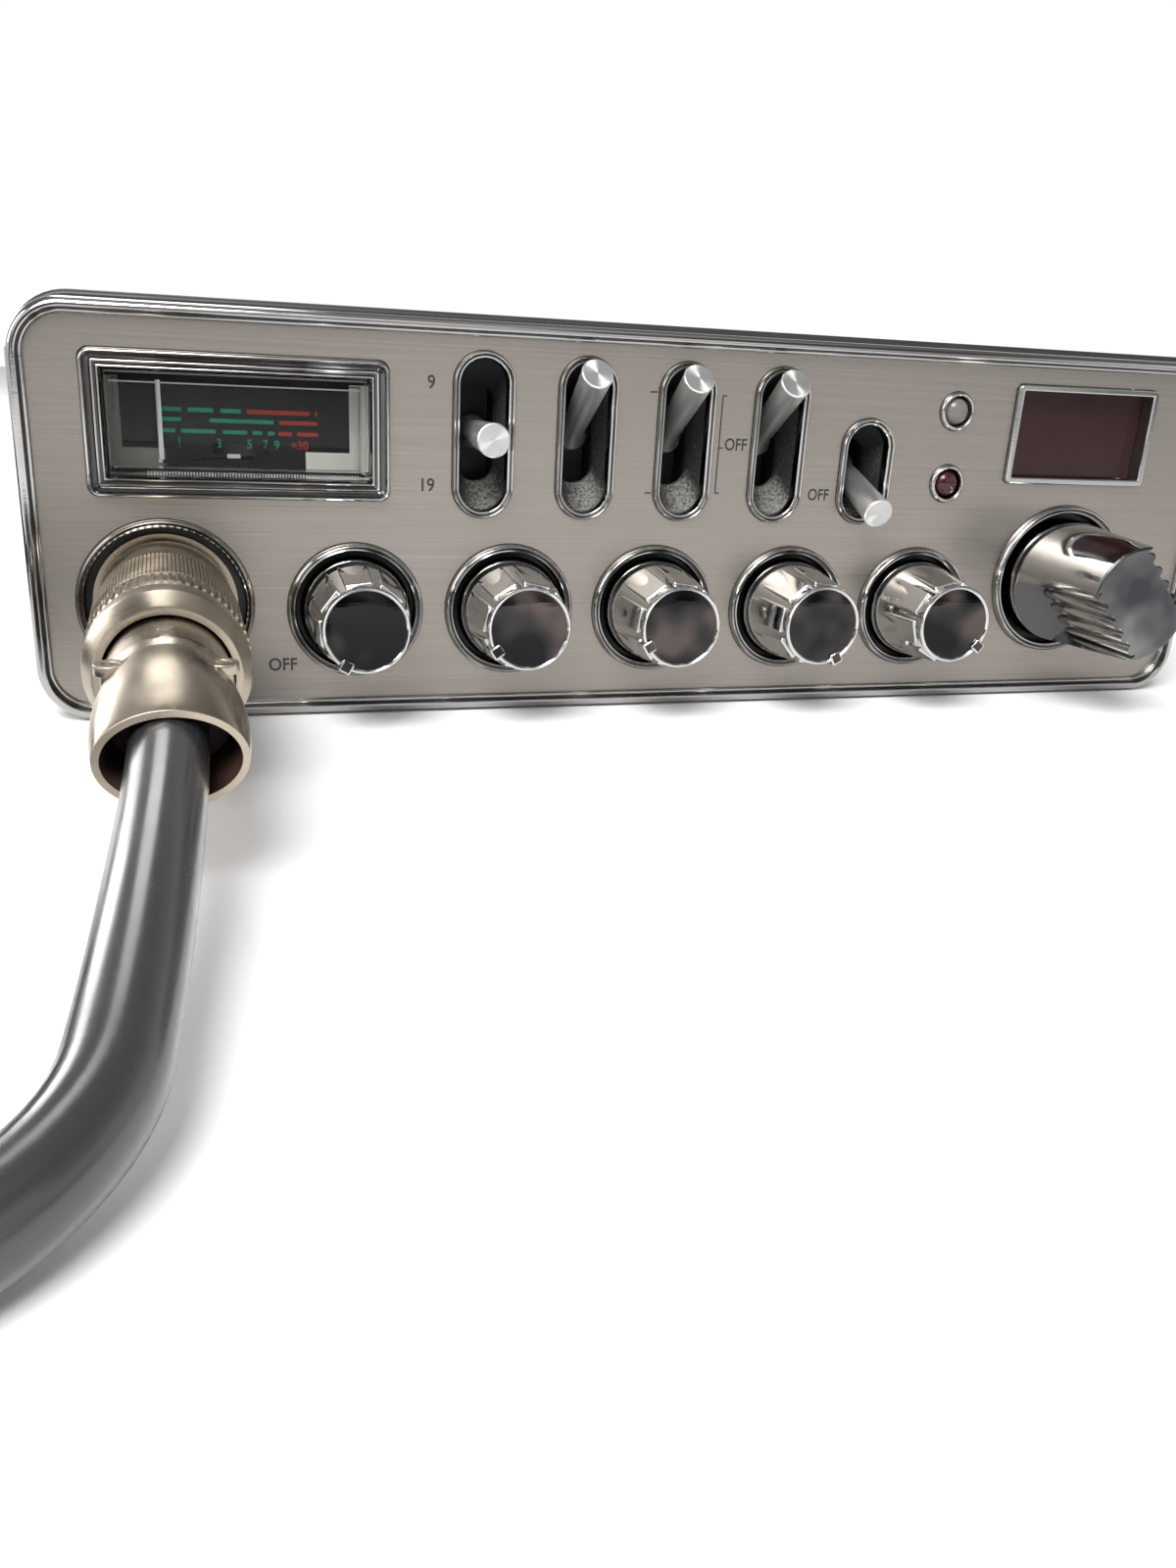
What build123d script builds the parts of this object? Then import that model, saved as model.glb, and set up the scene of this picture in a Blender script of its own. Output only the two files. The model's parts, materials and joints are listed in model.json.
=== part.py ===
# Mobile two-way radio with a chrome-trimmed control face and a hand microphone on a cord.
# Millimetres. +X is right as the user sees the face, the face looks towards -Y, +Z is up.
# The origin lies under the middle of the case, on the surface that the radio stands on.
from build123d import *
import os
from math import asin, atan2, cos, hypot, pi, radians, sin, sqrt, tan

os.makedirs("parts", exist_ok=True)

# Overall sizes
panel_width = 200.0
panel_height = 60.0
panel_corner = 8.5
panel_ahead = 112.0            # from the origin forward to the front of the face plate
case_depth = 224.0             # from the front of the face plate to the rear wall's outside
seat_gap = 0.1                 # between pieces that are fitted together and stay still
run_gap = 0.3                  # between pieces that move past each other
fit_gap = 0.05                 # radial clearance of a shaft, pin or cord in its hole
overrun = 1.0                  # how far a cut reaches past the face that it leaves

# Face: chrome bezel, brushed plate and the black escutcheon that carries them
bezel_height = 59.1
bezel_corner = 7.8
bezel_proud = 1.6
bezel_skirt = 1.0
bezel_skirt_depth = 2.0
bezel_lip = 1.9
bezel_ledge = 0.4
bezel_round = 0.95
bezel_bevel = 0.5
window_border = 2.7
window_height = 54.8
window_raise = 2.4
window_corner = 5.6
plate_thick = 0.8
escutcheon_depth = 20.0
escutcheon_wall = 2.2
escutcheon_round = 0.8
subpanel_thick = 2.5
pocket_depth = 1.5

# Round controls along the lower half of the face
knob_start_x = -53.8
knob_pitch = 24.15
knob_z = 16.2
knob_ring_radius = 10.27
knob_ring_bore = 8.95
ring_proud = 1.3
ring_step = 0.75
ring_step_depth = 1.0
ring_round = 0.3
knob_base_radius = 8.1
knob_root_radius = 7.7
knob_tip_radius = 6.5
knob_face_radius = 6.35
knob_ahead = 14.8
knob_floor_gap = 0.5
knob_rib_width = 4.6
knob_rim_depth = 0.6
knob_rim_width = 0.7
knob_rim_round = 0.25
nub_width = 1.8
nub_reach = 0.8
nub_length = 3.0
nub_depth = 3.4
nub_proud = 0.35
shaft_radius = 3.0
knob_bore_depth = 12.0

# Channel selector
channel_x = 71.9
channel_z = 21.07
channel_ring_radius = 13.07
channel_ring_bore = 11.6
channel_base_radius = 10.9
channel_tip_radius = 9.45
channel_ahead = 22.9
channel_collar = 3.0
channel_grip_half = 5.0
channel_pocket_half = 7.05
channel_rib_radius = 0.9
channel_rib_pitch = 2.95
channel_tilt = -49.0
channel_face_round = 0.4
channel_bore_depth = 16.0

# Lever switches and their slots
slot_start_x = -34.4
slot_pitch = 16.23
slot_half_width = 4.75
slot_half_height = 12.25
slot_z = 42.7
short_slot_half_height = 8.62
short_slot_z = 39.0
slot_rim = 0.9
slot_proud = 0.9
slot_ring_depth = 1.2
slot_round = 0.35
well_depth = 7.5
well_slope_depth = 5.0
well_back_half_width = 3.1
well_back_share = 0.65
lever_pivot_depth = 9.5
lever_length = 17.2
lever_root_radius = 1.9
lever_tip_radius = 2.5
lever_tip_bevel = 0.25
lever_throw = 35.4
short_lever_throw = 20.7
lever_hub_radius = 2.6
lever_hub_width = 5.4
lever_pin_radius = 1.0
switch_width = 10.4
switch_height = 23.0
short_switch_height = 16.0
switch_terminal_width = 1.0
switch_terminal_depth = 5.0
switch_terminal_pitch = 4.4

# Indicator lamps
lamp_x = 46.4
lamp_high_z = 49.3
lamp_low_z = 37.45
lamp_ring_radius = 3.16
lamp_ring_bore = 2.4
lamp_lens_radius = 2.2
lamp_proud = 0.8
lamp_round_share = 0.8

# Meter
meter_x = -69.78
meter_z = 42.75
meter_width = 42.45
meter_height = 20.1
meter_corner = 1.6
meter_border = 3.05
meter_proud = 1.5
meter_step = 1.4
meter_step_depth = 0.7
meter_round = 0.7
lens_wall = 0.9
lens_proud = 0.4
lens_depth = 4.5
housing_wall = 1.2
housing_side_gap = 1.2
dial_depth = 7.8
dial_thick = 0.6
dial_height = 10.4
dial_drop = 3.0
needle_radius = 15.0
needle_depth = 1.5
needle_rest = 50.0
needle_swing = 100.0
needle_width = 0.5
needle_half_height = 5.9
needle_arm_thick = 0.5
needle_hub_radius = 2.0
needle_pin_radius = 0.8
movement_radius = 5.4
movement_height = 6.0

# Channel display
display_x = 71.7
display_z = 46.0
display_width = 28.4
display_height = 16.4
display_corner = 1.0
display_border = 1.1
display_proud = 0.9
display_recess = 2.0
display_filter_thick = 1.2
display_module_depth = 5.0
digit_height = 9.0
digit_width = 5.2
digit_stroke = 1.0
digit_pitch = 9.5
digit_relief = 0.3

# Microphone socket and plug, which sit a little askew in the panel
mic_x = -81.4
mic_z = 17.2
mic_lean = 2.1
mic_ring_radius = 12.5
mic_ring_bore = 11.2
socket_radius = 7.9
socket_bore = 6.7
socket_ahead = 9.0
socket_behind = 12.0
socket_flange_radius = 10.2
socket_flange_thick = 1.0
socket_nut_thick = 2.2
socket_stand_off = 0.45
contact_disc_thick = 4.0
contact_radius = 0.9
contact_circle = 3.4
contact_reach = 6.0
coupling_start = 0.6
coupling_collar_radius = 9.45
coupling_radius = 9.8
coupling_collar_end = 12.9
coupling_knurl_end = 34.0
coupling_groove = 1.2
coupling_band_end = 38.5
coupling_end = 42.0
coupling_mouth_radius = 8.5
coupling_shoulder_depth = 20.0
knurl_count = 48
knurl_depth = 0.35
knurl_width = 0.55
plug_insert_radius = 6.3
plug_insert_start = 3.2
plug_shoulder_radius = 7.6
plug_shoulder_start = 11.0
plug_shoulder_end = 19.5
plug_radius = 7.2
plug_barrel_end = 50.5
plug_neck_radius = 6.5
plug_end = 53.0
plug_hollow_radius = 5.4
set_screw_radius = 0.9
set_screw_ahead = 47.0
clamp_waist_radius = 6.9
clamp_belly_radius = 7.9
clamp_belly_height = 6.5
clamp_belly_drop = 0.5
clamp_mouth_radius = 7.55
clamp_mouth_height = 5.2
clamp_mouth_drop = 1.5
clamp_belly_ahead = 62.0
clamp_end = 67.5
clamp_wall = 0.8
clamp_floor_ahead = 58.0
clamp_screw_radius = 1.2
clamp_screw_spread = 5.6
clamp_screw_ahead = 55.4
clamp_screw_head = 1.8
clamp_screw_head_thick = 1.2
clamp_screw_seat = 4.2
clamp_screw_length = 6.0
clamp_screw_recess = 0.9
clamp_screw_recess_depth = 0.7

# Cord: a smooth lead from the plug, a coil put away beside the radio and a tail to the microphone
cord_radius = 4.0
cord_start_ahead = 54.5
plug_straight = 6.0
tail_straight = 12.5
relief_straight = 5.5
coil_radius = 52.0
coil_pitch = 9.0
coil_turns_in = 2.0
coil_turns_out = 2.25
coil_climb_turns = 0.5
coil_layer_rise = 8.7
coil_end_run = 8.0
coil_centre_x = -158.0
coil_front_ahead = 122.5
coil_spans_per_turn = 4
coil_samples = 800
run_share = 0.45               # of the shorter run at a corner, taken up by its arc

# Hand microphone, which lies on its back at the left of the radio
hand_x = -198.0
hand_front_ahead = -28.0
hand_length = 92.0
hand_top_half = 32.0
hand_low_half = 25.0
hand_corner = 12.0
hand_split = 11.0
hand_thick = 28.0
hand_wall = 2.2
hand_front_round = 5.0
hand_back_round = 3.0
hand_pillar_radius = 4.2
stud_radius = 5.5
stud_neck_radius = 3.4
stud_height = 7.0
stud_head_thick = 3.0
stud_clamp_thick = 1.5
stud_edge = 0.4
stud_reach = 60.0
grille_width = 38.0
grille_slot = 2.2
grille_pitch = 4.4
grille_rows = 7
grille_reach = 60.0
grille_sheet = 0.8
capsule_radius = 9.0
capsule_height = 8.0
capsule_pad_radius = 7.0
capsule_pad_thick = 1.5
talk_length = 38.0
talk_height = 9.0
talk_low = 12.0
talk_reach = 44.0
talk_proud = 3.6
talk_travel = 2.5
talk_depth = 9.0
talk_round = 1.0
talk_flange = 1.5
talk_flange_thick = 1.6
talk_switch_width = 10.0
talk_switch_length = 16.0
relief_length = 22.0
relief_root_radius = 6.8
relief_tip_radius = 5.2
relief_neck_radius = 4.9
relief_flange = 2.0
relief_groove = 1.2
relief_groove_count = 5
relief_axis_height = 11.0
relief_bore_depth = 8.0
wire_hole_radius = 2.6
hand_screw_radius = 1.5
hand_screw_head = 2.8
hand_screw_head_thick = 1.4
hand_screw_sink = 3.0
hand_screw_bite = 10.0
hand_screw_spread = 16.0
hand_screw_reach = 12.0
hand_screw_top = 11.0

# Case: chassis, covers and what is fastened to them
cover_half_width = 97.0
cover_top = 59.2
cover_sheet = 1.0
cover_corner = 3.0
cover_split = 29.6
cover_split_gap = 0.3
chassis_sheet = 1.2
chassis_front_depth = 21.0
vent_length = 20.0
vent_width = 2.4
vent_pitch = 6.0
vent_count = 13
vent_row_ahead = -175.0
vent_row_gap = 34.0
speaker_ahead = -112.0
speaker_radius = 38.5
speaker_flange_thick = 1.4
speaker_hole_radius = 33.0
speaker_throat_radius = 14.0
speaker_depth = 17.0
magnet_radius = 20.0
magnet_height = 9.0
cone_thick = 0.9
cone_gap = 0.8
speaker_slot_width = 2.4
speaker_slot_pitch = 6.5
bracket_y = 22.0
bracket_boss_radius = 5.5
bracket_boss_length = 6.0
bracket_thread_radius = 2.1
bracket_hole_clearance = 0.7
cover_screw_radius = 1.4
cover_screw_head = 2.8
cover_screw_head_thick = 1.6
cover_screw_length = 5.0
cover_screw_end_gap = 19.0     # from the chassis's front and rear walls to the screws
cover_screw_inset = 9.0
board_thick = 1.6
board_z = 31.2
ledge_width = 6.0
ledge_front_ahead = -60.0
board_rear_gap = 8.0
bush_radius = 3.6
pot_radius = 8.2
pot_depth = 11.0
pot_nut_radius = 5.6
pot_nut_thick = 2.0
pot_shaft_seat = 9.0
pot_terminal_width = 1.2
pot_terminal_length = 5.0
pot_terminal_pitch = 4.0
selector_radius = 11.5
selector_depth = 16.0

can_width = 10.0
can_height = 12.0
capacitor_radius = 5.0
capacitor_height = 16.0
chip_length = 18.0
chip_width = 8.0
chip_height = 4.0
transistor_width = 10.0
transistor_thick = 4.5
transistor_height = 15.0

# Rear wall
heatsink_half_width = 46.0
heatsink_low_z = 25.0
heatsink_high_z = 56.0
heatsink_base = 3.0
heatsink_depth = 13.0
heatsink_fin = 1.8
heatsink_fin_count = 12
antenna_x = 72.0
antenna_z = 30.0
antenna_flange = 25.4
antenna_flange_thick = 1.6
antenna_radius = 7.95
antenna_length = 17.0
antenna_contact_bore = 2.0
antenna_contact_depth = 12.0
antenna_behind_radius = 5.5
antenna_behind = 7.0
antenna_well_radius = 5.6
antenna_well_depth = 6.0
jack_first_x = -34.0
jack_pitch = 18.0
jack_z = 14.0
jack_bore = 1.8
jack_barrel_radius = 3.9
jack_proud = 2.0
jack_depth = 14.0
jack_body_half = 4.6
inlet_x = -72.0
inlet_z = 24.0
inlet_width = 24.0
inlet_height = 18.0
inlet_flange = 2.0
inlet_wall = 1.5
inlet_proud = 4.0
inlet_depth = 14.0
inlet_socket_depth = 11.0
inlet_pin_radius = 1.1
inlet_pin_pitch = 6.0
inlet_pin_drop = 4.2

# Places worked out from the sizes above
knob_names = ["volume_knob", "squelch_knob", "calibration_knob", "rf_gain_knob", "mic_gain_knob"]
knob_points = [(knob_start_x + knob_pitch * i, knob_z) for i in range(len(knob_names))]
knob_clock_degrees = [-120.0, -146.0, -150.0, -62.0, -38.0]
lever_names = ["priority_lever", "meter_lever", "band_lever", "blanker_lever", "dual_lever"]
lever_rest_degrees = [0.0, lever_throw, lever_throw, lever_throw, -short_lever_throw]
slot_points = [(slot_start_x + slot_pitch * i, slot_z) for i in range(len(lever_names) - 1)]
slot_points.append((slot_start_x + slot_pitch * (len(lever_names) - 1), short_slot_z))
slot_heights = [slot_half_height] * (len(lever_names) - 1) + [short_slot_half_height]
switch_heights = [switch_height] * (len(lever_names) - 1) + [short_switch_height]
lamp_points = [(lamp_x, lamp_high_z), (lamp_x, lamp_low_z)]
subpanel_back = plate_thick + subpanel_thick
pocket_floor = plate_thick + pocket_depth
hand_rest_reach = stud_reach - stud_radius - hand_back_round
hand_rest_drop = stud_height + hand_back_round
hand_tilt = atan2(hand_rest_drop, hand_rest_reach) - asin(hand_back_round / hypot(hand_rest_reach, hand_rest_drop))
hand_lift = hand_back_round * (1 - sin(hand_tilt) - cos(hand_tilt))
chassis_half = cover_half_width - cover_sheet - seat_gap
chassis_low = cover_sheet + seat_gap
chassis_high = cover_top - cover_sheet - seat_gap


def front(ahead):
    """Plane parallel to the face, this far ahead of the face plate, looking towards the user."""
    return Plane.XZ.offset(panel_ahead + ahead)


def mic_front(ahead):
    """Plane square to the microphone plug's axis, this far along it from the face plate."""
    lean = radians(mic_lean)
    x = mic_x + ahead * sin(lean)
    y = -panel_ahead - ahead * cos(lean)
    return Plane(origin=(x, y, mic_z), x_dir=(cos(lean), sin(lean), 0), z_dir=(sin(lean), -cos(lean), 0))


def hand_plane(height):
    """Plane parallel to the microphone's back, which leans on its hang-up stud."""
    base = Plane(origin=(hand_x, -panel_ahead - hand_front_ahead, hand_lift), x_dir=(1, 0, 0),
                 z_dir=(0, -sin(hand_tilt), cos(hand_tilt)))
    return base.offset(height)


def write_part(part, label):
    """Label a finished sub-part and write it to its own file."""
    part.label = label
    export_step(part, f"parts/{label}.step")


def face_outline(inset):
    """The bezel's rounded outline, drawn in by an inset."""
    with Locations((0, bezel_height / 2)):
        RectangleRounded(panel_width - 2 * inset, bezel_height - 2 * inset, bezel_corner - inset)


def round_outlines(extra):
    """The outlines of the rings round the knobs, the channel knob and the microphone socket."""
    for point in knob_points:
        with Locations(point):
            Circle(knob_ring_radius + extra)
    with Locations((channel_x, channel_z)):
        Circle(channel_ring_radius + extra)
    with Locations((mic_x, mic_z)):
        Circle(mic_ring_radius + extra)


def through_outlines(extra):
    """The outlines of the slots, lamps, meter and display, which pass right through the face."""
    for point, half_height in zip(slot_points, slot_heights):
        with Locations(point):
            SlotOverall(2 * (half_height + extra), 2 * (slot_half_width + extra), rotation=90)
    for point in lamp_points:
        with Locations(point):
            Circle(lamp_ring_radius + extra)
    with Locations((meter_x, meter_z)):
        RectangleRounded(meter_width + 2 * extra, meter_height + 2 * extra, meter_corner + extra)
    with Locations((display_x, display_z)):
        RectangleRounded(display_width + 2 * extra, display_height + 2 * extra, display_corner + extra)


# Black escutcheon: a deep rim, and the wall that carries the plate and the rings
with BuildPart() as escutcheon:
    with BuildSketch(front(-escutcheon_depth)):
        with Locations((0, panel_height / 2)):
            RectangleRounded(panel_width, panel_height, panel_corner)
    extrude(amount=escutcheon_depth - bezel_skirt_depth - seat_gap)
    fillet(escutcheon.faces().sort_by(Axis.Y)[0].edges(), escutcheon_round)
    with BuildSketch(front(-escutcheon_depth)):
        with Locations((0, panel_height / 2)):
            RectangleRounded(panel_width - 2 * escutcheon_wall, panel_height - 2 * escutcheon_wall,
                             panel_corner - escutcheon_wall)
    extrude(amount=escutcheon_depth - subpanel_back, mode=Mode.SUBTRACT)
    with BuildSketch(front(-subpanel_back)):
        face_outline(bezel_skirt + seat_gap)
    extrude(amount=subpanel_thick)
    with BuildSketch(front(-pocket_floor)):
        round_outlines(seat_gap)
    extrude(amount=pocket_depth + overrun, mode=Mode.SUBTRACT)
    with BuildSketch(front(-escutcheon_depth)):
        through_outlines(seat_gap)
        with Locations(*knob_points, (channel_x, channel_z)):
            Circle(bush_radius)
        with Locations((mic_x, mic_z)):
            Circle(socket_radius + run_gap)
    extrude(amount=escutcheon_depth + overrun, mode=Mode.SUBTRACT)
write_part(escutcheon.part, "escutcheon")

# Chrome bezel: a skirt over the escutcheon's step, a rounded lip and a thin inner ledge
with BuildPart() as chrome_bezel:
    with BuildSketch(front(-bezel_skirt_depth)):
        face_outline(0)
        with Locations((0, bezel_height / 2)):
            RectangleRounded(panel_width - 2 * bezel_skirt, bezel_height - 2 * bezel_skirt,
                             bezel_corner - bezel_skirt, mode=Mode.SUBTRACT)
    extrude(amount=bezel_skirt_depth)
    with BuildSketch(front(0)):
        face_outline(0)
    extrude(amount=bezel_proud)
    fillet(chrome_bezel.faces().sort_by(Axis.Y)[0].edges(), bezel_round)
    with BuildSketch(front(bezel_ledge)):
        face_outline(bezel_lip)
    extrude(amount=bezel_proud, mode=Mode.SUBTRACT)
    with BuildSketch(front(0)):
        with Locations((0, window_raise + window_height / 2)):
            RectangleRounded(panel_width - 2 * window_border, window_height, window_corner)
    extrude(amount=bezel_proud + overrun, mode=Mode.SUBTRACT)
    inner_lip = chrome_bezel.faces().sort_by(Axis.Y)[0].inner_wires()[0].edges()
    chamfer(inner_lip, bezel_bevel)
write_part(chrome_bezel.part, "chrome_bezel")

# Brushed face plate
with BuildPart() as face_plate:
    with BuildSketch(front(-plate_thick)):
        face_outline(bezel_skirt + seat_gap)
    extrude(amount=plate_thick)
    with BuildSketch(front(-plate_thick)):
        round_outlines(seat_gap)
        through_outlines(seat_gap)
    extrude(amount=plate_thick, mode=Mode.SUBTRACT)
write_part(face_plate.part, "face_plate")

# Chrome rings: stepped rings round the knobs, the channel knob and the socket, and two lamp rings
with BuildPart() as control_rings:
    ring_rows = [(point, knob_ring_radius, knob_ring_bore) for point in knob_points]
    ring_rows.append(((channel_x, channel_z), channel_ring_radius, channel_ring_bore))
    ring_rows.append(((mic_x, mic_z), mic_ring_radius, mic_ring_bore))
    for point, radius, bore in ring_rows:
        with BuildSketch(front(-pocket_floor)):
            with Locations(point):
                Circle(radius)
                Circle(bore, mode=Mode.SUBTRACT)
        extrude(amount=pocket_floor + ring_proud)
        with BuildSketch(front(ring_proud - ring_step_depth)):
            with Locations(point):
                Circle(radius - ring_step)
        extrude(amount=ring_step_depth + overrun, mode=Mode.SUBTRACT)
    for point in lamp_points:
        with BuildSketch(front(-subpanel_back)):
            with Locations(point):
                Circle(lamp_ring_radius)
                Circle(lamp_ring_bore, mode=Mode.SUBTRACT)
        extrude(amount=subpanel_back + lamp_proud)
    crest_faces = control_rings.faces().filter_by(Axis.Y).group_by(Axis.Y)[0]
    fillet(crest_faces.edges(), ring_round)
write_part(control_rings.part, "control_rings")

# Chrome slot rings
with BuildPart() as slot_rings:
    for point, half_height in zip(slot_points, slot_heights):
        with BuildSketch(front(-slot_ring_depth)):
            with Locations(point):
                SlotOverall(2 * half_height, 2 * slot_half_width, rotation=90)
                SlotOverall(2 * (half_height - slot_rim), 2 * (slot_half_width - slot_rim), rotation=90,
                            mode=Mode.SUBTRACT)
        extrude(amount=slot_ring_depth + slot_proud)
    fillet(slot_rings.faces().filter_by(Axis.Y).group_by(Axis.Y)[0].edges(), slot_round)
write_part(slot_rings.part, "slot_rings")

# Black wells behind the slot rings, whose ends slope down to a narrower slot
with BuildPart() as slot_wells:
    for point, half_height in zip(slot_points, slot_heights):
        with BuildSketch(front(-well_depth)):
            with Locations(point):
                SlotOverall(2 * half_height, 2 * slot_half_width, rotation=90)
        extrude(amount=well_depth - slot_ring_depth)
        mouth_height = half_height - slot_rim
        mouth_width = slot_half_width - slot_rim
        with BuildSketch(front(-slot_ring_depth)):
            with Locations(point):
                SlotOverall(2 * mouth_height, 2 * mouth_width, rotation=90)
        with BuildSketch(front(-slot_ring_depth - well_slope_depth)):
            with Locations(point):
                SlotOverall(2 * mouth_height * well_back_share, 2 * well_back_half_width, rotation=90)
        loft(ruled=True, mode=Mode.SUBTRACT)
        with BuildSketch(front(-well_depth)):
            with Locations(point):
                SlotOverall(2 * mouth_height * well_back_share, 2 * well_back_half_width, rotation=90)
        extrude(amount=well_depth - slot_ring_depth - well_slope_depth, mode=Mode.SUBTRACT)
write_part(slot_wells.part, "slot_wells")

# Levers: tapered round bats, each with a hub and a pin that turn in its switch
for name, point, rest in zip(lever_names, slot_points, lever_rest_degrees):
    pivot = (point[0], lever_pivot_depth - panel_ahead, point[1])
    lever_axis = (0, -cos(radians(rest)), sin(radians(rest)))
    lever_plane = Plane(origin=pivot, x_dir=(1, 0, 0), z_dir=lever_axis)
    with BuildPart(lever_plane) as lever:
        Cone(lever_root_radius, lever_tip_radius, lever_length, align=(Align.CENTER, Align.CENTER, Align.MIN))
        chamfer(lever.edges().filter_by(GeomType.CIRCLE).sort_by(SortBy.RADIUS)[-1], lever_tip_bevel)
        Cylinder(lever_hub_radius, lever_hub_width, rotation=(0, 90, 0))
        Cylinder(lever_pin_radius, switch_width - 2 * seat_gap, rotation=(0, 90, 0))
    write_part(lever.part, name)

# Lever switch bodies with a pivot pocket in front and terminals behind
with BuildPart() as lever_switches:
    switch_front = well_depth + seat_gap
    switch_length = chassis_front_depth - switch_front
    pocket_back = lever_pivot_depth + lever_hub_radius + run_gap
    for point, height, half_height in zip(slot_points, switch_heights, slot_heights):
        pocket_height = 2 * (half_height - slot_rim) * well_back_share
        with BuildSketch(front(-chassis_front_depth)):
            with Locations(point):
                Rectangle(switch_width, height)
        extrude(amount=switch_length)
        with BuildSketch(front(-pocket_back)):
            with Locations(point):
                Rectangle(lever_hub_width + 2 * run_gap, pocket_height)
        extrude(amount=pocket_back - switch_front, mode=Mode.SUBTRACT)
        with BuildSketch(Plane.YZ.offset(point[0] - switch_width / 2)):
            with Locations((lever_pivot_depth - panel_ahead, point[1])):
                Circle(lever_pin_radius + fit_gap)
        extrude(amount=switch_width, mode=Mode.SUBTRACT)
        with BuildSketch(front(-chassis_front_depth)):
            with Locations(point):
                with GridLocations(switch_terminal_pitch, switch_terminal_pitch, 2, 3):
                    Rectangle(switch_terminal_width, 2 * switch_terminal_width)
        extrude(amount=-switch_terminal_depth)
write_part(lever_switches.part, "lever_switches")


def ribbed_profile(centre, root_radius, rib_radius, rib_width, ribs):
    """A disc with raised ribs round it."""
    with Locations(centre):
        Circle(root_radius)
        with PolarLocations(0, ribs):
            Rectangle(rib_radius, rib_width, align=(Align.MIN, Align.CENTER))


# Knobs: tapered and ribbed, with a rimmed face, a pointer nub and the shaft pressed into the bore
knob_ribs = 8
knob_back = knob_floor_gap - pocket_floor
taper_share = knob_tip_radius / knob_base_radius
for name, point, clock in zip(knob_names, knob_points, knob_clock_degrees):
    with BuildPart() as knob:
        with BuildSketch(front(knob_back)):
            ribbed_profile(point, knob_root_radius, knob_base_radius, knob_rib_width, knob_ribs)
        with BuildSketch(front(knob_ahead - knob_rim_depth)):
            ribbed_profile(point, knob_root_radius * taper_share, knob_tip_radius,
                           knob_rib_width * taper_share, knob_ribs)
        loft(ruled=True)
        with BuildSketch(front(knob_ahead - knob_rim_depth)):
            with Locations(point):
                Circle(knob_face_radius)
        extrude(amount=knob_rim_depth)
        fillet(knob.faces().sort_by(Axis.Y)[0].edges(), knob_rim_round)
        with BuildSketch(front(knob_ahead)):
            with Locations(point):
                Circle(knob_face_radius - knob_rim_width)
        extrude(amount=-knob_rim_depth, mode=Mode.SUBTRACT)
        nub_edge = knob_face_radius + nub_reach
        with BuildSketch(front(knob_ahead + nub_proud)):
            with Locations(point):
                with PolarLocations(nub_edge, 1, start_angle=clock):
                    Rectangle(nub_length, nub_width, align=(Align.MAX, Align.CENTER))
        extrude(amount=-nub_depth)
        with BuildSketch(front(knob_back)):
            with Locations(point):
                Circle(shaft_radius + fit_gap)
        extrude(amount=knob_bore_depth - knob_back, mode=Mode.SUBTRACT)
        with BuildSketch(front(-chassis_front_depth - chassis_sheet - pot_shaft_seat)):
            with Locations(point):
                Circle(shaft_radius)
        extrude(amount=chassis_front_depth + chassis_sheet + pot_shaft_seat + knob_bore_depth - fit_gap)
    write_part(knob.part, name)

# Channel knob: a tapered drum with two scooped pockets, whose flat floors are ribbed, on its shaft
channel_point = (channel_x, channel_z)
channel_ribs = 5
channel_scoop = channel_base_radius - channel_grip_half
with BuildPart(front(knob_back)) as channel_knob:
    with Locations(channel_point):
        Cone(channel_base_radius, channel_tip_radius, channel_ahead - knob_back,
             align=(Align.CENTER, Align.CENTER, Align.MIN))
    fillet(channel_knob.faces().sort_by(Axis.Y)[0].edges(), channel_face_round)
    tilt = radians(channel_tilt)
    grip_middle = front(0).from_local_coords(Vector(channel_x, channel_z, 0))
    along_grip = Vector(cos(tilt), 0, sin(tilt))
    for side in (1, -1):
        across_grip = Vector(-sin(tilt), 0, cos(tilt)) * side
        with BuildSketch(Plane(origin=grip_middle, x_dir=across_grip, z_dir=along_grip * side)):
            with BuildLine():
                depth_line = Line((channel_grip_half, channel_ahead + overrun),
                                  (channel_grip_half, channel_collar + channel_scoop))
                scoop_arc = RadiusArc(depth_line @ 1, (channel_grip_half + channel_scoop, channel_collar),
                                      -channel_scoop)
                Polyline(scoop_arc @ 1, (2 * channel_base_radius, channel_collar),
                         (2 * channel_base_radius, channel_ahead + overrun), depth_line @ 0)
            make_face()
        extrude(amount=channel_pocket_half, both=True, mode=Mode.SUBTRACT)
    with BuildSketch(front(channel_collar + channel_scoop / 2)):
        with Locations(Location(channel_point, channel_tilt)):
            with GridLocations(channel_rib_pitch, 2 * channel_grip_half, channel_ribs, 2):
                Circle(channel_rib_radius)
    extrude(amount=channel_ahead - channel_collar - channel_scoop / 2)
    with BuildSketch(front(knob_back)):
        with Locations(channel_point):
            Circle(shaft_radius + fit_gap)
    extrude(amount=channel_bore_depth - knob_back, mode=Mode.SUBTRACT)
    with BuildSketch(front(-chassis_front_depth - chassis_sheet - pot_shaft_seat)):
        with Locations(channel_point):
            Circle(shaft_radius)
    extrude(amount=chassis_front_depth + chassis_sheet + pot_shaft_seat + channel_bore_depth - fit_gap)
write_part(channel_knob.part, "channel_knob")

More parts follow.
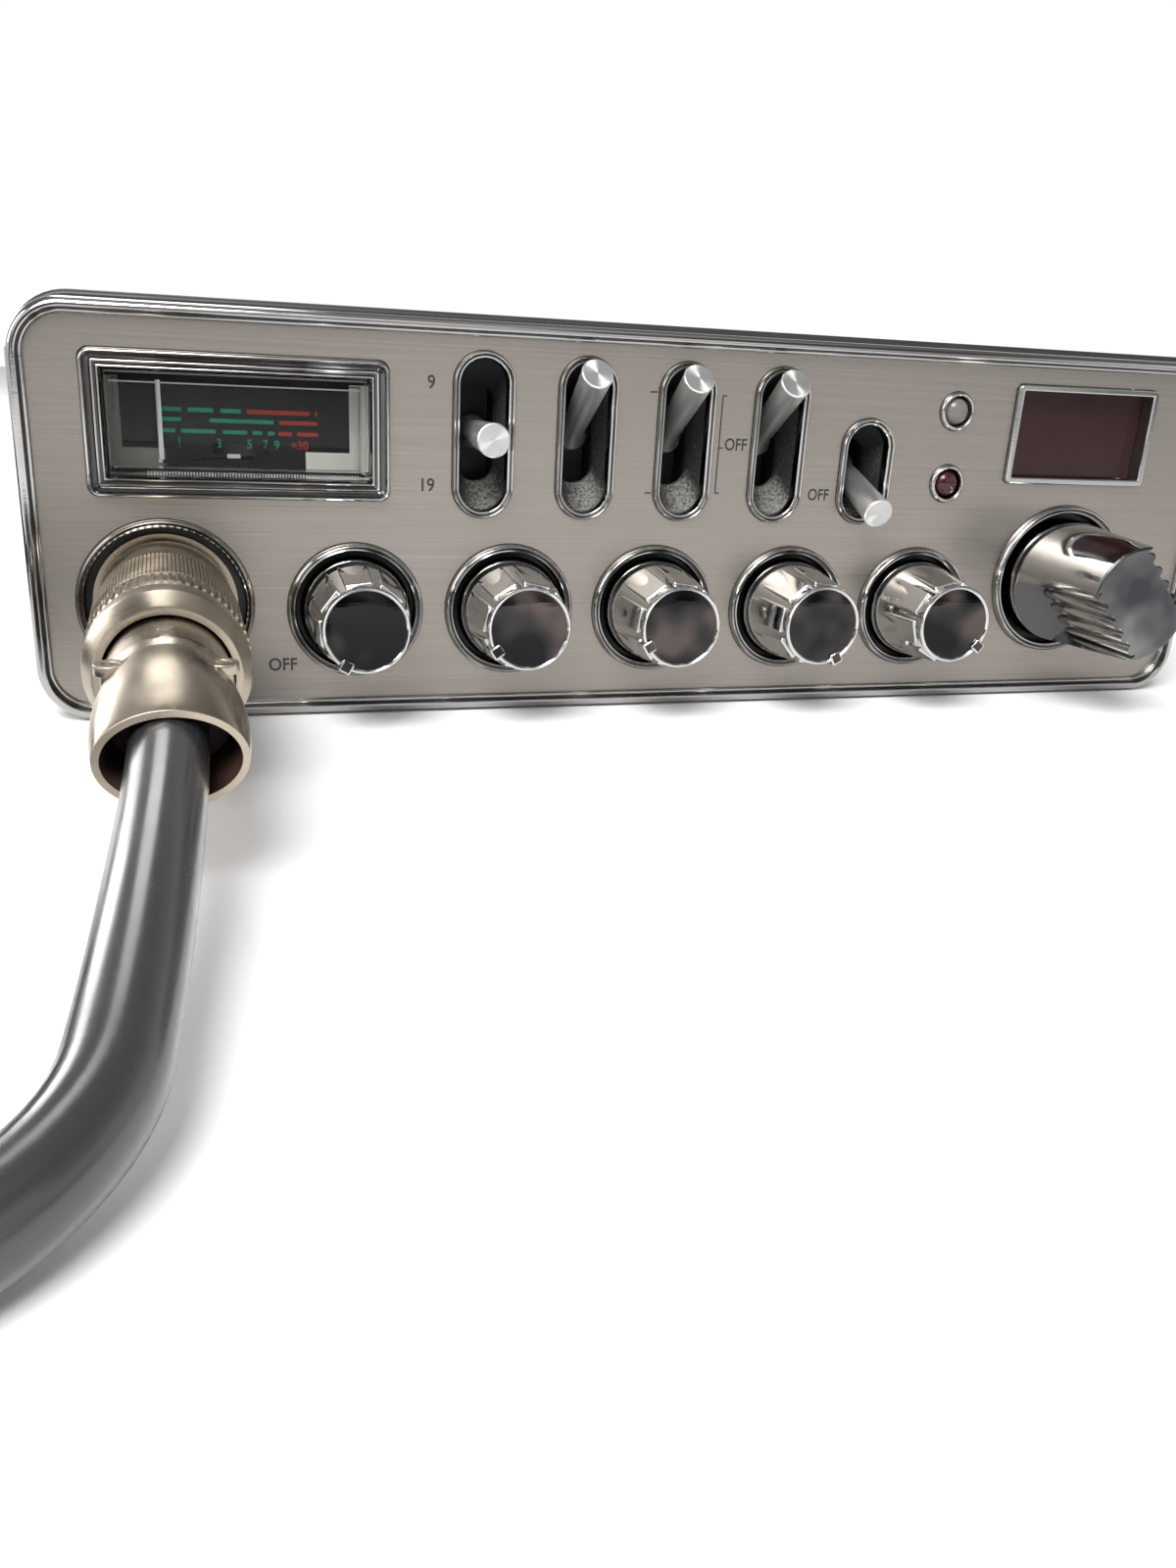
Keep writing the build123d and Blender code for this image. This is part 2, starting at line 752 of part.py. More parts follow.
# Potentiometers behind the chassis front, each with its bush, nut and three terminals
shaft_hole = shaft_radius + fit_gap
pot_front = chassis_front_depth + chassis_sheet
with BuildPart() as potentiometers:
    for point in knob_points:
        with BuildSketch(front(-pot_front - pot_depth)):
            with Locations(point):
                Circle(pot_radius)
        extrude(amount=pot_depth)
        with BuildSketch(front(-pot_front)):
            with Locations(point):
                Circle(bush_radius - seat_gap)
        extrude(amount=pot_front - chassis_front_depth + pot_nut_thick)
        with BuildSketch(front(-chassis_front_depth)):
            with Locations(point):
                RegularPolygon(pot_nut_radius, 6)
        extrude(amount=pot_nut_thick)
        with BuildSketch(front(-pot_front - pot_depth / 2)):
            with Locations((point[0], point[1] - pot_radius)):
                with GridLocations(pot_terminal_pitch, 0, 3, 1):
                    Rectangle(pot_terminal_width, 2 * pot_terminal_length)
        extrude(amount=pot_terminal_width)
        with BuildSketch(front(-pot_front - pot_shaft_seat - run_gap)):
            with Locations(point):
                Circle(shaft_hole)
        extrude(amount=pot_front + pot_shaft_seat, mode=Mode.SUBTRACT)
write_part(potentiometers.part, "potentiometers")

# Channel selector switch
with BuildPart() as channel_selector:
    with BuildSketch(front(-pot_front - selector_depth)):
        with Locations(channel_point):
            Circle(selector_radius)
    extrude(amount=selector_depth)
    with BuildSketch(front(-pot_front)):
        with Locations(channel_point):
            Circle(bush_radius - seat_gap)
    extrude(amount=chassis_sheet + pot_nut_thick)
    with BuildSketch(front(-chassis_front_depth)):
        with Locations(channel_point):
            RegularPolygon(pot_nut_radius, 6)
    extrude(amount=pot_nut_thick)
    with BuildSketch(front(-pot_front - pot_shaft_seat - run_gap)):
        with Locations(channel_point):
            Circle(shaft_hole)
    extrude(amount=pot_front + pot_shaft_seat, mode=Mode.SUBTRACT)
write_part(channel_selector.part, "channel_selector")

# Indicator lamps: a domed lens on a stem that reaches back to the chassis front
for name, point in zip(["transmit_lamp", "alert_lamp"], lamp_points):
    with BuildPart(front(-chassis_front_depth)) as lamp:
        with Locations(point):
            Cylinder(lamp_lens_radius, chassis_front_depth - lamp_lens_radius / 2,
                     align=(Align.CENTER, Align.CENTER, Align.MIN))
        fillet(lamp.faces().sort_by(Axis.Y)[0].edges(), lamp_lens_radius * lamp_round_share)
    write_part(lamp.part, name)

# Meter frame: a rounded outer bead and a stepped inner edge
meter_point = (meter_x, meter_z)
lens_width = meter_width - 2 * meter_border
lens_height = meter_height - 2 * meter_border + seat_gap
with BuildPart() as meter_frame:
    with BuildSketch(front(-subpanel_back)):
        with Locations(meter_point):
            RectangleRounded(meter_width, meter_height, meter_corner)
    extrude(amount=subpanel_back + meter_proud)
    fillet(meter_frame.faces().sort_by(Axis.Y)[0].edges(), meter_round)
    for step in (1, 2):
        with BuildSketch(front(meter_proud - step * meter_step_depth)):
            with Locations(meter_point):
                inset = meter_step + (step - 1) * (meter_border - meter_step) / 2
                Rectangle(meter_width - 2 * inset, meter_height - 2 * inset)
        extrude(amount=meter_proud, mode=Mode.SUBTRACT)
    with BuildSketch(front(-subpanel_back)):
        with Locations(meter_point):
            Rectangle(lens_width, lens_height)
    extrude(amount=subpanel_back + meter_proud, mode=Mode.SUBTRACT)
write_part(meter_frame.part, "meter_frame")

# Meter lens: a clear open-backed box that stands in the frame
with BuildPart() as meter_lens:
    with BuildSketch(front(-lens_depth)):
        with Locations(meter_point):
            Rectangle(lens_width - 2 * seat_gap, lens_height - 2 * seat_gap)
    extrude(amount=lens_depth + lens_proud)
    with BuildSketch(front(-lens_depth)):
        with Locations(meter_point):
            Rectangle(lens_width - 2 * (seat_gap + lens_wall), lens_height - 2 * (seat_gap + lens_wall))
    extrude(amount=lens_depth + lens_proud - lens_wall, mode=Mode.SUBTRACT)
write_part(meter_lens.part, "meter_lens")

# Meter housing, with the coil drum and the pin that the needle turns on
housing_width = meter_width - 2 * housing_side_gap
housing_height = meter_height - 2 * housing_side_gap
pivot_ahead = -needle_depth - needle_radius
pivot_y = -panel_ahead - pivot_ahead
arm_z = meter_z - needle_half_height
with BuildPart() as meter_housing:
    with BuildSketch(front(-chassis_front_depth)):
        with Locations(meter_point):
            Rectangle(housing_width, housing_height)
    extrude(amount=chassis_front_depth - subpanel_back)
    with BuildSketch(front(housing_wall - chassis_front_depth)):
        with Locations(meter_point):
            Rectangle(housing_width - 2 * housing_wall, housing_height - 2 * housing_wall)
    extrude(amount=chassis_front_depth, mode=Mode.SUBTRACT)
    drum_z = arm_z + needle_arm_thick + run_gap
    drum_top = meter_z + housing_height / 2 - housing_wall
    with BuildSketch(Plane.XY.offset(drum_z)):
        with Locations((meter_x, pivot_y)):
            Circle(chassis_front_depth + pivot_ahead)
            Rectangle(2 * movement_radius, chassis_front_depth + pivot_ahead, align=(Align.CENTER, Align.MIN))
    extrude(amount=drum_top - drum_z)
    with BuildSketch(Plane.XY.offset(meter_z - housing_height / 2)):
        with Locations((meter_x, pivot_y)):
            Circle(needle_pin_radius)
    extrude(amount=drum_z - meter_z + housing_height / 2)
write_part(meter_housing.part, "meter_housing")

# Dial plate, held between the housing's side walls
with BuildPart() as meter_dial:
    with BuildSketch(front(-dial_depth)):
        with Locations((meter_x, meter_z - dial_drop)):
            Rectangle(housing_width - 2 * (housing_wall + fit_gap), dial_height,
                      align=(Align.CENTER, Align.MIN))
    extrude(amount=-dial_thick)
write_part(meter_dial.part, "meter_dial")

# Needle: a hub on the pin, an arm that passes under the dial and an upright pointer
with BuildPart() as meter_needle:
    with BuildSketch(Plane.XY.offset(arm_z)):
        with Locations(Location((meter_x, pivot_y), -90 - needle_rest)):
            Circle(needle_hub_radius)
            Rectangle(needle_radius, needle_width * 2, align=(Align.MIN, Align.CENTER))
            Circle(needle_pin_radius + fit_gap, mode=Mode.SUBTRACT)
    extrude(amount=needle_arm_thick)
    with BuildSketch(Plane.XY.offset(arm_z)):
        with Locations(Location((meter_x, pivot_y), -90 - needle_rest)):
            with Locations((needle_radius, 0)):
                Rectangle(needle_width, needle_width, align=(Align.MAX, Align.CENTER))
    extrude(amount=2 * needle_half_height)
write_part(meter_needle.part, "meter_needle")

# Display: a thin chrome frame, a dark red filter and the digit module behind it
display_point = (display_x, display_z)
filter_width = display_width - 2 * display_border
filter_height = display_height - 2 * display_border
with BuildPart() as display_frame:
    with BuildSketch(front(-subpanel_back)):
        with Locations(display_point):
            RectangleRounded(display_width, display_height, display_corner)
            Rectangle(filter_width, filter_height, mode=Mode.SUBTRACT)
    extrude(amount=subpanel_back + display_proud)
    fillet(display_frame.faces().sort_by(Axis.Y)[0].edges(), ring_round)
write_part(display_frame.part, "display_frame")

with BuildPart() as display_window:
    with BuildSketch(front(-display_recess - display_filter_thick)):
        with Locations(display_point):
            Rectangle(filter_width - 2 * fit_gap, filter_height - 2 * fit_gap)
    extrude(amount=display_filter_thick)
write_part(display_window.part, "display_window")

with BuildPart() as display_module:
    with BuildSketch(front(-chassis_front_depth)):
        with Locations(display_point):
            Rectangle(filter_width, filter_height)
    extrude(amount=chassis_front_depth - display_module_depth)
    with BuildSketch(front(-display_module_depth)):
        with Locations(display_point):
            with GridLocations(digit_pitch, 0, 2, 1):
                Rectangle(digit_width, digit_height)
                with GridLocations(0, (digit_height - digit_stroke) / 2, 1, 2):
                    Rectangle(digit_width - 2 * digit_stroke, (digit_height - 3 * digit_stroke) / 2,
                              mode=Mode.SUBTRACT)
    extrude(amount=digit_relief)
write_part(display_module.part, "display_module")

# Microphone socket: flange, threaded barrel and the nut behind the panel
with BuildPart() as mic_socket:
    with BuildSketch(mic_front(-socket_behind)):
        Circle(socket_radius - fit_gap)
    extrude(amount=socket_behind + socket_ahead)
    with BuildSketch(mic_front(socket_stand_off - pocket_floor)):
        Circle(socket_flange_radius)
    extrude(amount=socket_flange_thick)
    with BuildSketch(mic_front(-subpanel_back - socket_stand_off)):
        RegularPolygon(socket_flange_radius, 6)
    extrude(amount=-socket_nut_thick)
    with BuildSketch(mic_front(-socket_behind)):
        Circle(socket_bore)
    extrude(amount=socket_behind + socket_ahead, mode=Mode.SUBTRACT)
write_part(mic_socket.part, "mic_socket")

with BuildPart() as mic_contacts:
    with BuildSketch(mic_front(-contact_disc_thick)):
        Circle(socket_bore - fit_gap)
    extrude(amount=contact_disc_thick)
    with BuildSketch(mic_front(-contact_disc_thick)):
        with PolarLocations(contact_circle, 4, start_angle=45):
            Circle(contact_radius)
    extrude(amount=-contact_reach)
write_part(mic_contacts.part, "mic_contacts")

# Coupling ring of the plug: smooth collar, knurled grip and a bevelled front band
with BuildPart() as plug_coupling_ring:
    with BuildSketch(mic_front(coupling_start)):
        Circle(coupling_collar_radius)
    extrude(amount=coupling_collar_end - coupling_start)
    chamfer(plug_coupling_ring.faces().sort_by(Axis.Y)[-1].edges(), coupling_groove / 2)
    with BuildSketch(mic_front(coupling_collar_end)):
        Circle(coupling_radius)
        with PolarLocations(coupling_radius, knurl_count):
            Rectangle(2 * knurl_depth, knurl_width, mode=Mode.SUBTRACT)
    extrude(amount=coupling_knurl_end - coupling_collar_end)
    with BuildSketch(mic_front(coupling_knurl_end)):
        Circle(coupling_collar_radius)
    extrude(amount=coupling_groove)
    with BuildSketch(mic_front(coupling_knurl_end + coupling_groove)):
        Circle(coupling_radius)
    extrude(amount=coupling_band_end - coupling_knurl_end - coupling_groove)
    with BuildSketch(mic_front(coupling_band_end)):
        Circle(coupling_radius)
    with BuildSketch(mic_front(coupling_end)):
        Circle(coupling_mouth_radius)
    loft()
    with BuildSketch(mic_front(coupling_start)):
        Circle(socket_radius + fit_gap)
    extrude(amount=coupling_shoulder_depth - coupling_start, mode=Mode.SUBTRACT)
    with BuildSketch(mic_front(coupling_start)):
        Circle(plug_radius + run_gap)
    extrude(amount=coupling_end, mode=Mode.SUBTRACT)
write_part(plug_coupling_ring.part, "plug_coupling_ring")

# Plug body: contact insert, shoulder inside the coupling ring, barrel and hollow neck
with BuildPart() as plug_body:
    with BuildSketch(mic_front(plug_insert_start)):
        Circle(plug_insert_radius)
    extrude(amount=plug_shoulder_start - plug_insert_start)
    with BuildSketch(mic_front(plug_shoulder_start)):
        Circle(plug_shoulder_radius)
    extrude(amount=plug_shoulder_end - plug_shoulder_start)
    with BuildSketch(mic_front(plug_shoulder_end)):
        Circle(plug_radius)
    extrude(amount=plug_barrel_end - plug_shoulder_end)
    with BuildSketch(mic_front(plug_barrel_end)):
        Circle(plug_radius)
    with BuildSketch(mic_front(plug_end)):
        Circle(plug_neck_radius)
    loft()
    with BuildSketch(mic_front(plug_shoulder_end)):
        Circle(plug_hollow_radius)
    extrude(amount=plug_end, mode=Mode.SUBTRACT)
    top_of_plug = mic_front(set_screw_ahead).origin + Vector(0, 0, plug_hollow_radius - overrun)
    with BuildSketch(Plane(origin=top_of_plug)):
        Circle(set_screw_radius + fit_gap)
    extrude(amount=plug_radius, mode=Mode.SUBTRACT)
write_part(plug_body.part, "plug_body")

# Cord clamp: a cup that is squeezed flat at its mouth, with the cord's hole in its floor
clamp_screw_seats = [mic_front(clamp_screw_ahead).origin + Vector(side * clamp_screw_spread, 0, clamp_screw_seat)
                     for side in (1, -1)]
with BuildPart() as plug_clamp:
    with BuildSketch(mic_front(plug_end)):
        Circle(clamp_waist_radius)
    with BuildSketch(mic_front(clamp_belly_ahead)):
        with Locations((0, -clamp_belly_drop)):
            Ellipse(clamp_belly_radius, clamp_belly_height)
    with BuildSketch(mic_front(clamp_end)):
        with Locations((0, -clamp_mouth_drop)):
            Ellipse(clamp_mouth_radius, clamp_mouth_height)
    loft()
    with BuildSketch(mic_front(clamp_floor_ahead)):
        with Locations((0, -clamp_belly_drop)):
            Ellipse(clamp_belly_radius - 2 * clamp_wall, clamp_belly_height - 2 * clamp_wall)
    with BuildSketch(mic_front(clamp_end)):
        with Locations((0, -clamp_mouth_drop)):
            Ellipse(clamp_mouth_radius - clamp_wall, clamp_mouth_height - clamp_wall)
    loft(mode=Mode.SUBTRACT)
    with BuildSketch(mic_front(cord_start_ahead)):
        Circle(cord_radius + fit_gap)
    extrude(amount=clamp_floor_ahead + clamp_wall - cord_start_ahead, mode=Mode.SUBTRACT)
    with BuildSketch(mic_front(plug_end)):
        Circle(wire_hole_radius)
    extrude(amount=clamp_floor_ahead - plug_end, mode=Mode.SUBTRACT)
    for seat in clamp_screw_seats:
        with BuildSketch(Plane(origin=seat)):
            Circle(clamp_screw_head + fit_gap)
        extrude(amount=clamp_belly_radius, mode=Mode.SUBTRACT)
        with BuildSketch(Plane(origin=seat)):
            Circle(clamp_screw_radius + fit_gap)
        extrude(amount=-clamp_screw_length, mode=Mode.SUBTRACT)
write_part(plug_clamp.part, "plug_clamp")

# Screws of the plug: a set screw on top of the barrel and two clamp screws with recessed heads
with BuildPart() as plug_screws:
    with BuildSketch(Plane(origin=mic_front(set_screw_ahead).origin + Vector(0, 0, plug_hollow_radius))):
        Circle(set_screw_radius)
    extrude(amount=plug_radius - plug_hollow_radius)
    for seat in clamp_screw_seats:
        with BuildSketch(Plane(origin=seat)):
            Circle(clamp_screw_head)
        extrude(amount=clamp_screw_head_thick)
        with BuildSketch(Plane(origin=seat)):
            Circle(clamp_screw_radius)
        extrude(amount=fit_gap - clamp_screw_length)
        with BuildSketch(Plane(origin=seat + Vector(0, 0, clamp_screw_head_thick))):
            Circle(clamp_screw_recess)
        extrude(amount=-clamp_screw_recess_depth, mode=Mode.SUBTRACT)
write_part(plug_screws.part, "plug_screws")


# Cord routes: (x, distance ahead of the face plate, height of the cord's middle)
def on_plug_axis(ahead):
    """A point of the plug's axis, as a row of a route."""
    point = mic_front(ahead).origin
    return (point.X, -point.Y - panel_ahead, point.Z)


def on_relief_axis(reach):
    """A point of the strain relief's axis, this far out of the microphone, as a row of a route."""
    point = hand_plane(relief_axis_height).origin
    y = point.Y - reach * cos(hand_tilt)
    return (hand_x, -y - panel_ahead, point.Z - reach * sin(hand_tilt))


def world(row):
    """A route's row as a point of the model."""
    return Vector(row[0], -panel_ahead - row[1], row[2])


lead_route = [
    on_plug_axis(cord_start_ahead), on_plug_axis(cord_start_ahead + plug_straight), (-79.5, 76.0, 14.2),
    (-80.2, 90.0, 11.9), (-81.2, 103.0, 9.0), (-82.6, 113.5, 6.0), (-90.5, 123.5, 4.2),
    (-103.5, 128.5, cord_radius), (-118.5, 128.0, cord_radius), (-134.0, coil_front_ahead, cord_radius),
    (coil_centre_x + coil_end_run, coil_front_ahead, cord_radius),
]
coil_end_x = coil_centre_x - coil_radius - coil_pitch * (coil_turns_out - coil_turns_in)
coil_end_ahead = coil_front_ahead - coil_radius - coil_end_run
coil_end_z = cord_radius + coil_layer_rise
tail_route = [
    (coil_end_x, coil_end_ahead, coil_end_z), (coil_end_x, coil_end_ahead - tail_straight, coil_end_z),
    (-209.6, 37.5, 10.9), (-204.0, 26.5, 8.4), (-199.4, 15.0, 5.9),
    on_relief_axis(relief_length + relief_straight), on_relief_axis(relief_length - relief_bore_depth),
]


def corner_radii(points):
    """Arc radii as large as the two runs at each corner allow."""
    radii = []
    for before, corner, after in zip(points, points[1:], points[2:]):
        first = corner - before
        second = after - corner
        half_turn = radians(first.get_angle(second)) / 2
        radii.append(run_share * min(first.length, second.length) / tan(half_turn))
    return radii


def sweep_route(name, rows):
    """A round tube along straight runs and tangent arcs, with its radii and volume printed."""
    points = [world(row) for row in rows]
    radii = corner_radii(points)
    with BuildPart() as tube:
        with BuildLine() as path:
            FilletPolyline(*points, radius=radii)
        with BuildSketch(Plane(origin=path.wire() @ 0, z_dir=path.wire() % 0)):
            Circle(cord_radius)
        sweep(path=path.wire())
    length = path.wire().length
    print(name, "length", round(length, 1), "radii", [round(value, 1) for value in radii])
    print(name, "volume", round(tube.part.volume), "by length", round(pi * cord_radius ** 2 * length))
    write_part(tube.part, name)


sweep_route("mic_cord_lead", lead_route)
sweep_route("mic_cord_tail", tail_route)

# Coil: a flat spiral in on the floor, a climb, and a spiral out on top of it, as one tube
turns = coil_turns_in + coil_turns_out
coil_centre = world((coil_centre_x, coil_front_ahead - coil_radius, cord_radius))


def coil_point(turn):
    """A point of the coil's middle line, so many turns from its start."""
    inward = min(turn, coil_turns_in)
    outward = max(turn - coil_turns_in, 0)
    radius = coil_radius - coil_pitch * (inward - outward)
    climb = min(max((turn - coil_turns_in) / coil_climb_turns + 1 / 2, 0), 1)
    rise = coil_layer_rise * climb * climb * (3 - 2 * climb)
    angle = radians(-90 - 360 * turn)
    return coil_centre + Vector(radius * cos(angle), radius * sin(angle), rise)


def coil_tangent(turn):
    """The coil's direction of travel there, squared up at both ends."""
    step = coil_climb_turns / 1000
    if turn < step:
        return Vector(-1, 0, 0)
    if turn > turns - step:
        return Vector(0, 1, 0)
    return (coil_point(turn + step) - coil_point(turn - step)).normalized()


def biarc_joint(start, start_dir, end, end_dir):
    """The point where two arcs meet that leave start and reach end along the given directions."""
    across = end - start
    spread = 2 * (1 - start_dir.dot(end_dir))
    lean = across.dot(start_dir + end_dir)
    reach = (-lean + sqrt(lean * lean + spread * across.dot(across))) / spread
    return (start + end + (start_dir - end_dir) * reach) / 2


coil_spans = round(turns * coil_spans_per_turn)
coil_start = coil_point(0) + Vector(coil_end_run, 0, 0)
with BuildPart() as mic_cord_coil:
    with BuildLine() as coil_line:
        Line(coil_start, coil_point(0))
        for i in range(coil_spans):
            near = coil_point(i / coil_spans_per_turn)
            far = coil_point((i + 1) / coil_spans_per_turn)
            near_dir = coil_tangent(i / coil_spans_per_turn)
            far_dir = coil_tangent((i + 1) / coil_spans_per_turn)
            joint = biarc_joint(near, near_dir, far, far_dir)
            chord = (joint - near).normalized()
            joint_dir = chord * (2 * chord.dot(near_dir)) - near_dir
            TangentArc(near, joint, tangent=near_dir)
            TangentArc(joint, far, tangent=joint_dir)
        Line(coil_point(turns), coil_point(turns) + Vector(0, coil_end_run, 0))
    with BuildSketch(Plane(origin=coil_start, z_dir=(-1, 0, 0))):
        Circle(cord_radius)
    sweep(path=coil_line.wire())
coil_wire = coil_line.wire()
samples = [coil_wire.position_at(i / coil_samples) for i in range(coil_samples + 1)]
apart = int(coil_samples / turns / 2)
least = min((a - b).length for i, a in enumerate(samples) for b in samples[i + apart:])
print("mic_cord_coil length", round(coil_wire.length, 1), "least gap", round(least - 2 * cord_radius, 2))
print("mic_cord_coil volume", round(mic_cord_coil.part.volume),
      "by length", round(pi * cord_radius ** 2 * coil_wire.length))
write_part(mic_cord_coil.part, "mic_cord_coil")


def hand_outline(inset):
    """The microphone's outline: narrower at the cord's end, with round corners."""
    low = hand_low_half - hand_corner
    high = hand_top_half - hand_corner
    with Locations((-low, hand_corner), (low, hand_corner),
                   (-high, hand_length - hand_corner), (high, hand_length - hand_corner)):
        Circle(hand_corner - inset)
    make_hull()


def hand_wall_x(reach):
    """The x of the microphone's left wall, this far up from the cord's end."""
    slope = (hand_top_half - hand_low_half) / (hand_length - 2 * hand_corner)
    middle = hand_low_half - hand_corner + slope * (reach - hand_corner)
    return -middle - hand_corner * hypot(1, slope)


def talk_outline(outside, inside, margin):
    """An upright strip along the left wall, from one depth to another, longer by a margin at each end."""
    low = talk_reach - talk_length / 2 - margin
    high = talk_reach + talk_length / 2 + margin
    Polygon((hand_wall_x(low) + outside, low), (hand_wall_x(low) + inside, low),
            (hand_wall_x(high) + inside, high), (hand_wall_x(high) + outside, high), align=None)


hand_screw_points = [(-hand_screw_spread, hand_screw_reach), (hand_screw_spread, hand_screw_reach),
                     (0, hand_length - hand_screw_top)]
hand_axis = Axis(hand_plane(0).origin, hand_plane(0).z_dir)
relief_axis = hand_plane(relief_axis_height)
relief_plane = Plane(origin=relief_axis.origin, x_dir=relief_axis.x_dir, z_dir=-relief_axis.y_dir)

# Microphone back shell, with screw pillars and half of the cord's hole
with BuildPart() as mic_back_shell:
    with BuildSketch(hand_plane(0)):
        hand_outline(0)
    extrude(amount=hand_split)
    fillet(mic_back_shell.faces().sort_by(hand_axis)[0].edges(), hand_back_round)
    with BuildSketch(hand_plane(hand_wall)):
        hand_outline(hand_wall)
    extrude(amount=hand_split, mode=Mode.SUBTRACT)
    with BuildSketch(hand_plane(hand_wall)):
        with Locations(*hand_screw_points):
            Circle(hand_pillar_radius)
    extrude(amount=hand_split - hand_wall)
    with BuildSketch(hand_plane(0)):
        with Locations(*hand_screw_points):
            Circle(hand_screw_head + fit_gap)
    extrude(amount=hand_screw_sink, mode=Mode.SUBTRACT)
    with BuildSketch(hand_plane(0)):
        with Locations(*hand_screw_points):
            Circle(hand_screw_radius + fit_gap)
        with Locations((0, stud_reach)):
            Circle(stud_neck_radius + fit_gap)
    extrude(amount=hand_split, mode=Mode.SUBTRACT)
    with BuildSketch(relief_plane):
        Circle(relief_neck_radius + fit_gap)
    extrude(amount=-hand_wall - overrun, mode=Mode.SUBTRACT)
write_part(mic_back_shell.part, "mic_back_shell")

# Microphone front shell, with the sound slots and the talk bar's opening
with BuildPart() as mic_front_shell:
    with BuildSketch(hand_plane(hand_split)):
        hand_outline(0)
    extrude(amount=hand_thick - hand_split)
    fillet(mic_front_shell.faces().sort_by(hand_axis)[-1].edges(), hand_front_round)
    with BuildSketch(hand_plane(hand_split)):
        hand_outline(hand_wall)
    extrude(amount=hand_thick - hand_split - hand_wall, mode=Mode.SUBTRACT)
    with BuildSketch(hand_plane(hand_split)):
        with Locations(*hand_screw_points):
            Circle(hand_pillar_radius)
    extrude(amount=hand_thick - hand_split - hand_wall)
    with BuildSketch(hand_plane(hand_split)):
        with Locations(*hand_screw_points):
            Circle(hand_screw_radius + fit_gap)
    extrude(amount=hand_screw_bite + fit_gap, mode=Mode.SUBTRACT)
    with BuildSketch(hand_plane(hand_thick)):
        with Locations((0, grille_reach)):
            with GridLocations(0, grille_pitch, 1, grille_rows):
                SlotOverall(grille_width, grille_slot)
    extrude(amount=-hand_wall, mode=Mode.SUBTRACT)
    with BuildSketch(hand_plane(talk_low - run_gap)):
        talk_outline(-talk_proud, hand_wall + overrun, run_gap)
    extrude(amount=talk_height + 2 * run_gap, mode=Mode.SUBTRACT)
    with BuildSketch(relief_plane):
        Circle(relief_neck_radius + fit_gap)
    extrude(amount=-hand_wall - overrun, mode=Mode.SUBTRACT)
write_part(mic_front_shell.part, "mic_front_shell")

# Perforated sheet behind the sound slots, and the capsule behind it
with BuildPart() as mic_grille_sheet:
    with BuildSketch(hand_plane(hand_thick - hand_wall - grille_sheet)):
        with Locations((0, grille_reach)):
            Rectangle(grille_width + 2 * grille_slot, (grille_rows - 1) * grille_pitch + 2 * grille_slot)
    extrude(amount=grille_sheet)
write_part(mic_grille_sheet.part, "mic_grille_sheet")

capsule_top = hand_thick - hand_wall - grille_sheet
with BuildPart(hand_plane(capsule_top)) as mic_capsule:
    with Locations((0, grille_reach)):
        Cylinder(capsule_radius, capsule_height, align=(Align.CENTER, Align.CENTER, Align.MAX))
        with Locations((0, 0, -capsule_height)):
            Cylinder(capsule_pad_radius, capsule_pad_thick, align=(Align.CENTER, Align.CENTER, Align.MAX))
write_part(mic_capsule.part, "mic_capsule")

# Talk bar: it slides in through the left wall, and its flange keeps it from falling out
with BuildPart() as talk_bar:
    with BuildSketch(hand_plane(talk_low)):
        talk_outline(-talk_proud, talk_depth, 0)
    extrude(amount=talk_height)
    fillet(talk_bar.edges().group_by(Axis.X)[0], talk_round)
    with BuildSketch(hand_plane(talk_low - talk_flange)):
        talk_outline(hand_wall + run_gap, hand_wall + run_gap + talk_flange_thick, talk_flange)
    extrude(amount=talk_height + 2 * talk_flange)
write_part(talk_bar.part, "talk_bar")

# Talk switch on the back shell's floor, just behind the bar's full travel
switch_low = talk_reach - talk_switch_length / 2
switch_left = hand_wall_x(switch_low) + talk_depth + talk_travel + run_gap
with BuildPart() as talk_switch:
    with BuildSketch(hand_plane(hand_wall)):
        with Locations((switch_left, switch_low)):
            Rectangle(talk_switch_width, talk_switch_length, align=(Align.MIN, Align.MIN))
    extrude(amount=talk_low + talk_height - hand_wall)
write_part(talk_switch.part, "talk_switch")

# Hang-up stud on the back, clamped through the shell
with BuildPart() as hang_up_stud:
    with BuildSketch(hand_plane(-stud_height)):
        with Locations((0, stud_reach)):
            Circle(stud_radius)
    extrude(amount=stud_head_thick)
    chamfer(hang_up_stud.edges(), stud_edge)
    with BuildSketch(hand_plane(-stud_height)):
        with Locations((0, stud_reach)):
            Circle(stud_neck_radius)
    extrude(amount=stud_height + hand_wall)
    with BuildSketch(hand_plane(hand_wall)):
        with Locations((0, stud_reach)):
            Circle(stud_radius)
    extrude(amount=stud_clamp_thick)
write_part(hang_up_stud.part, "hang_up_stud")

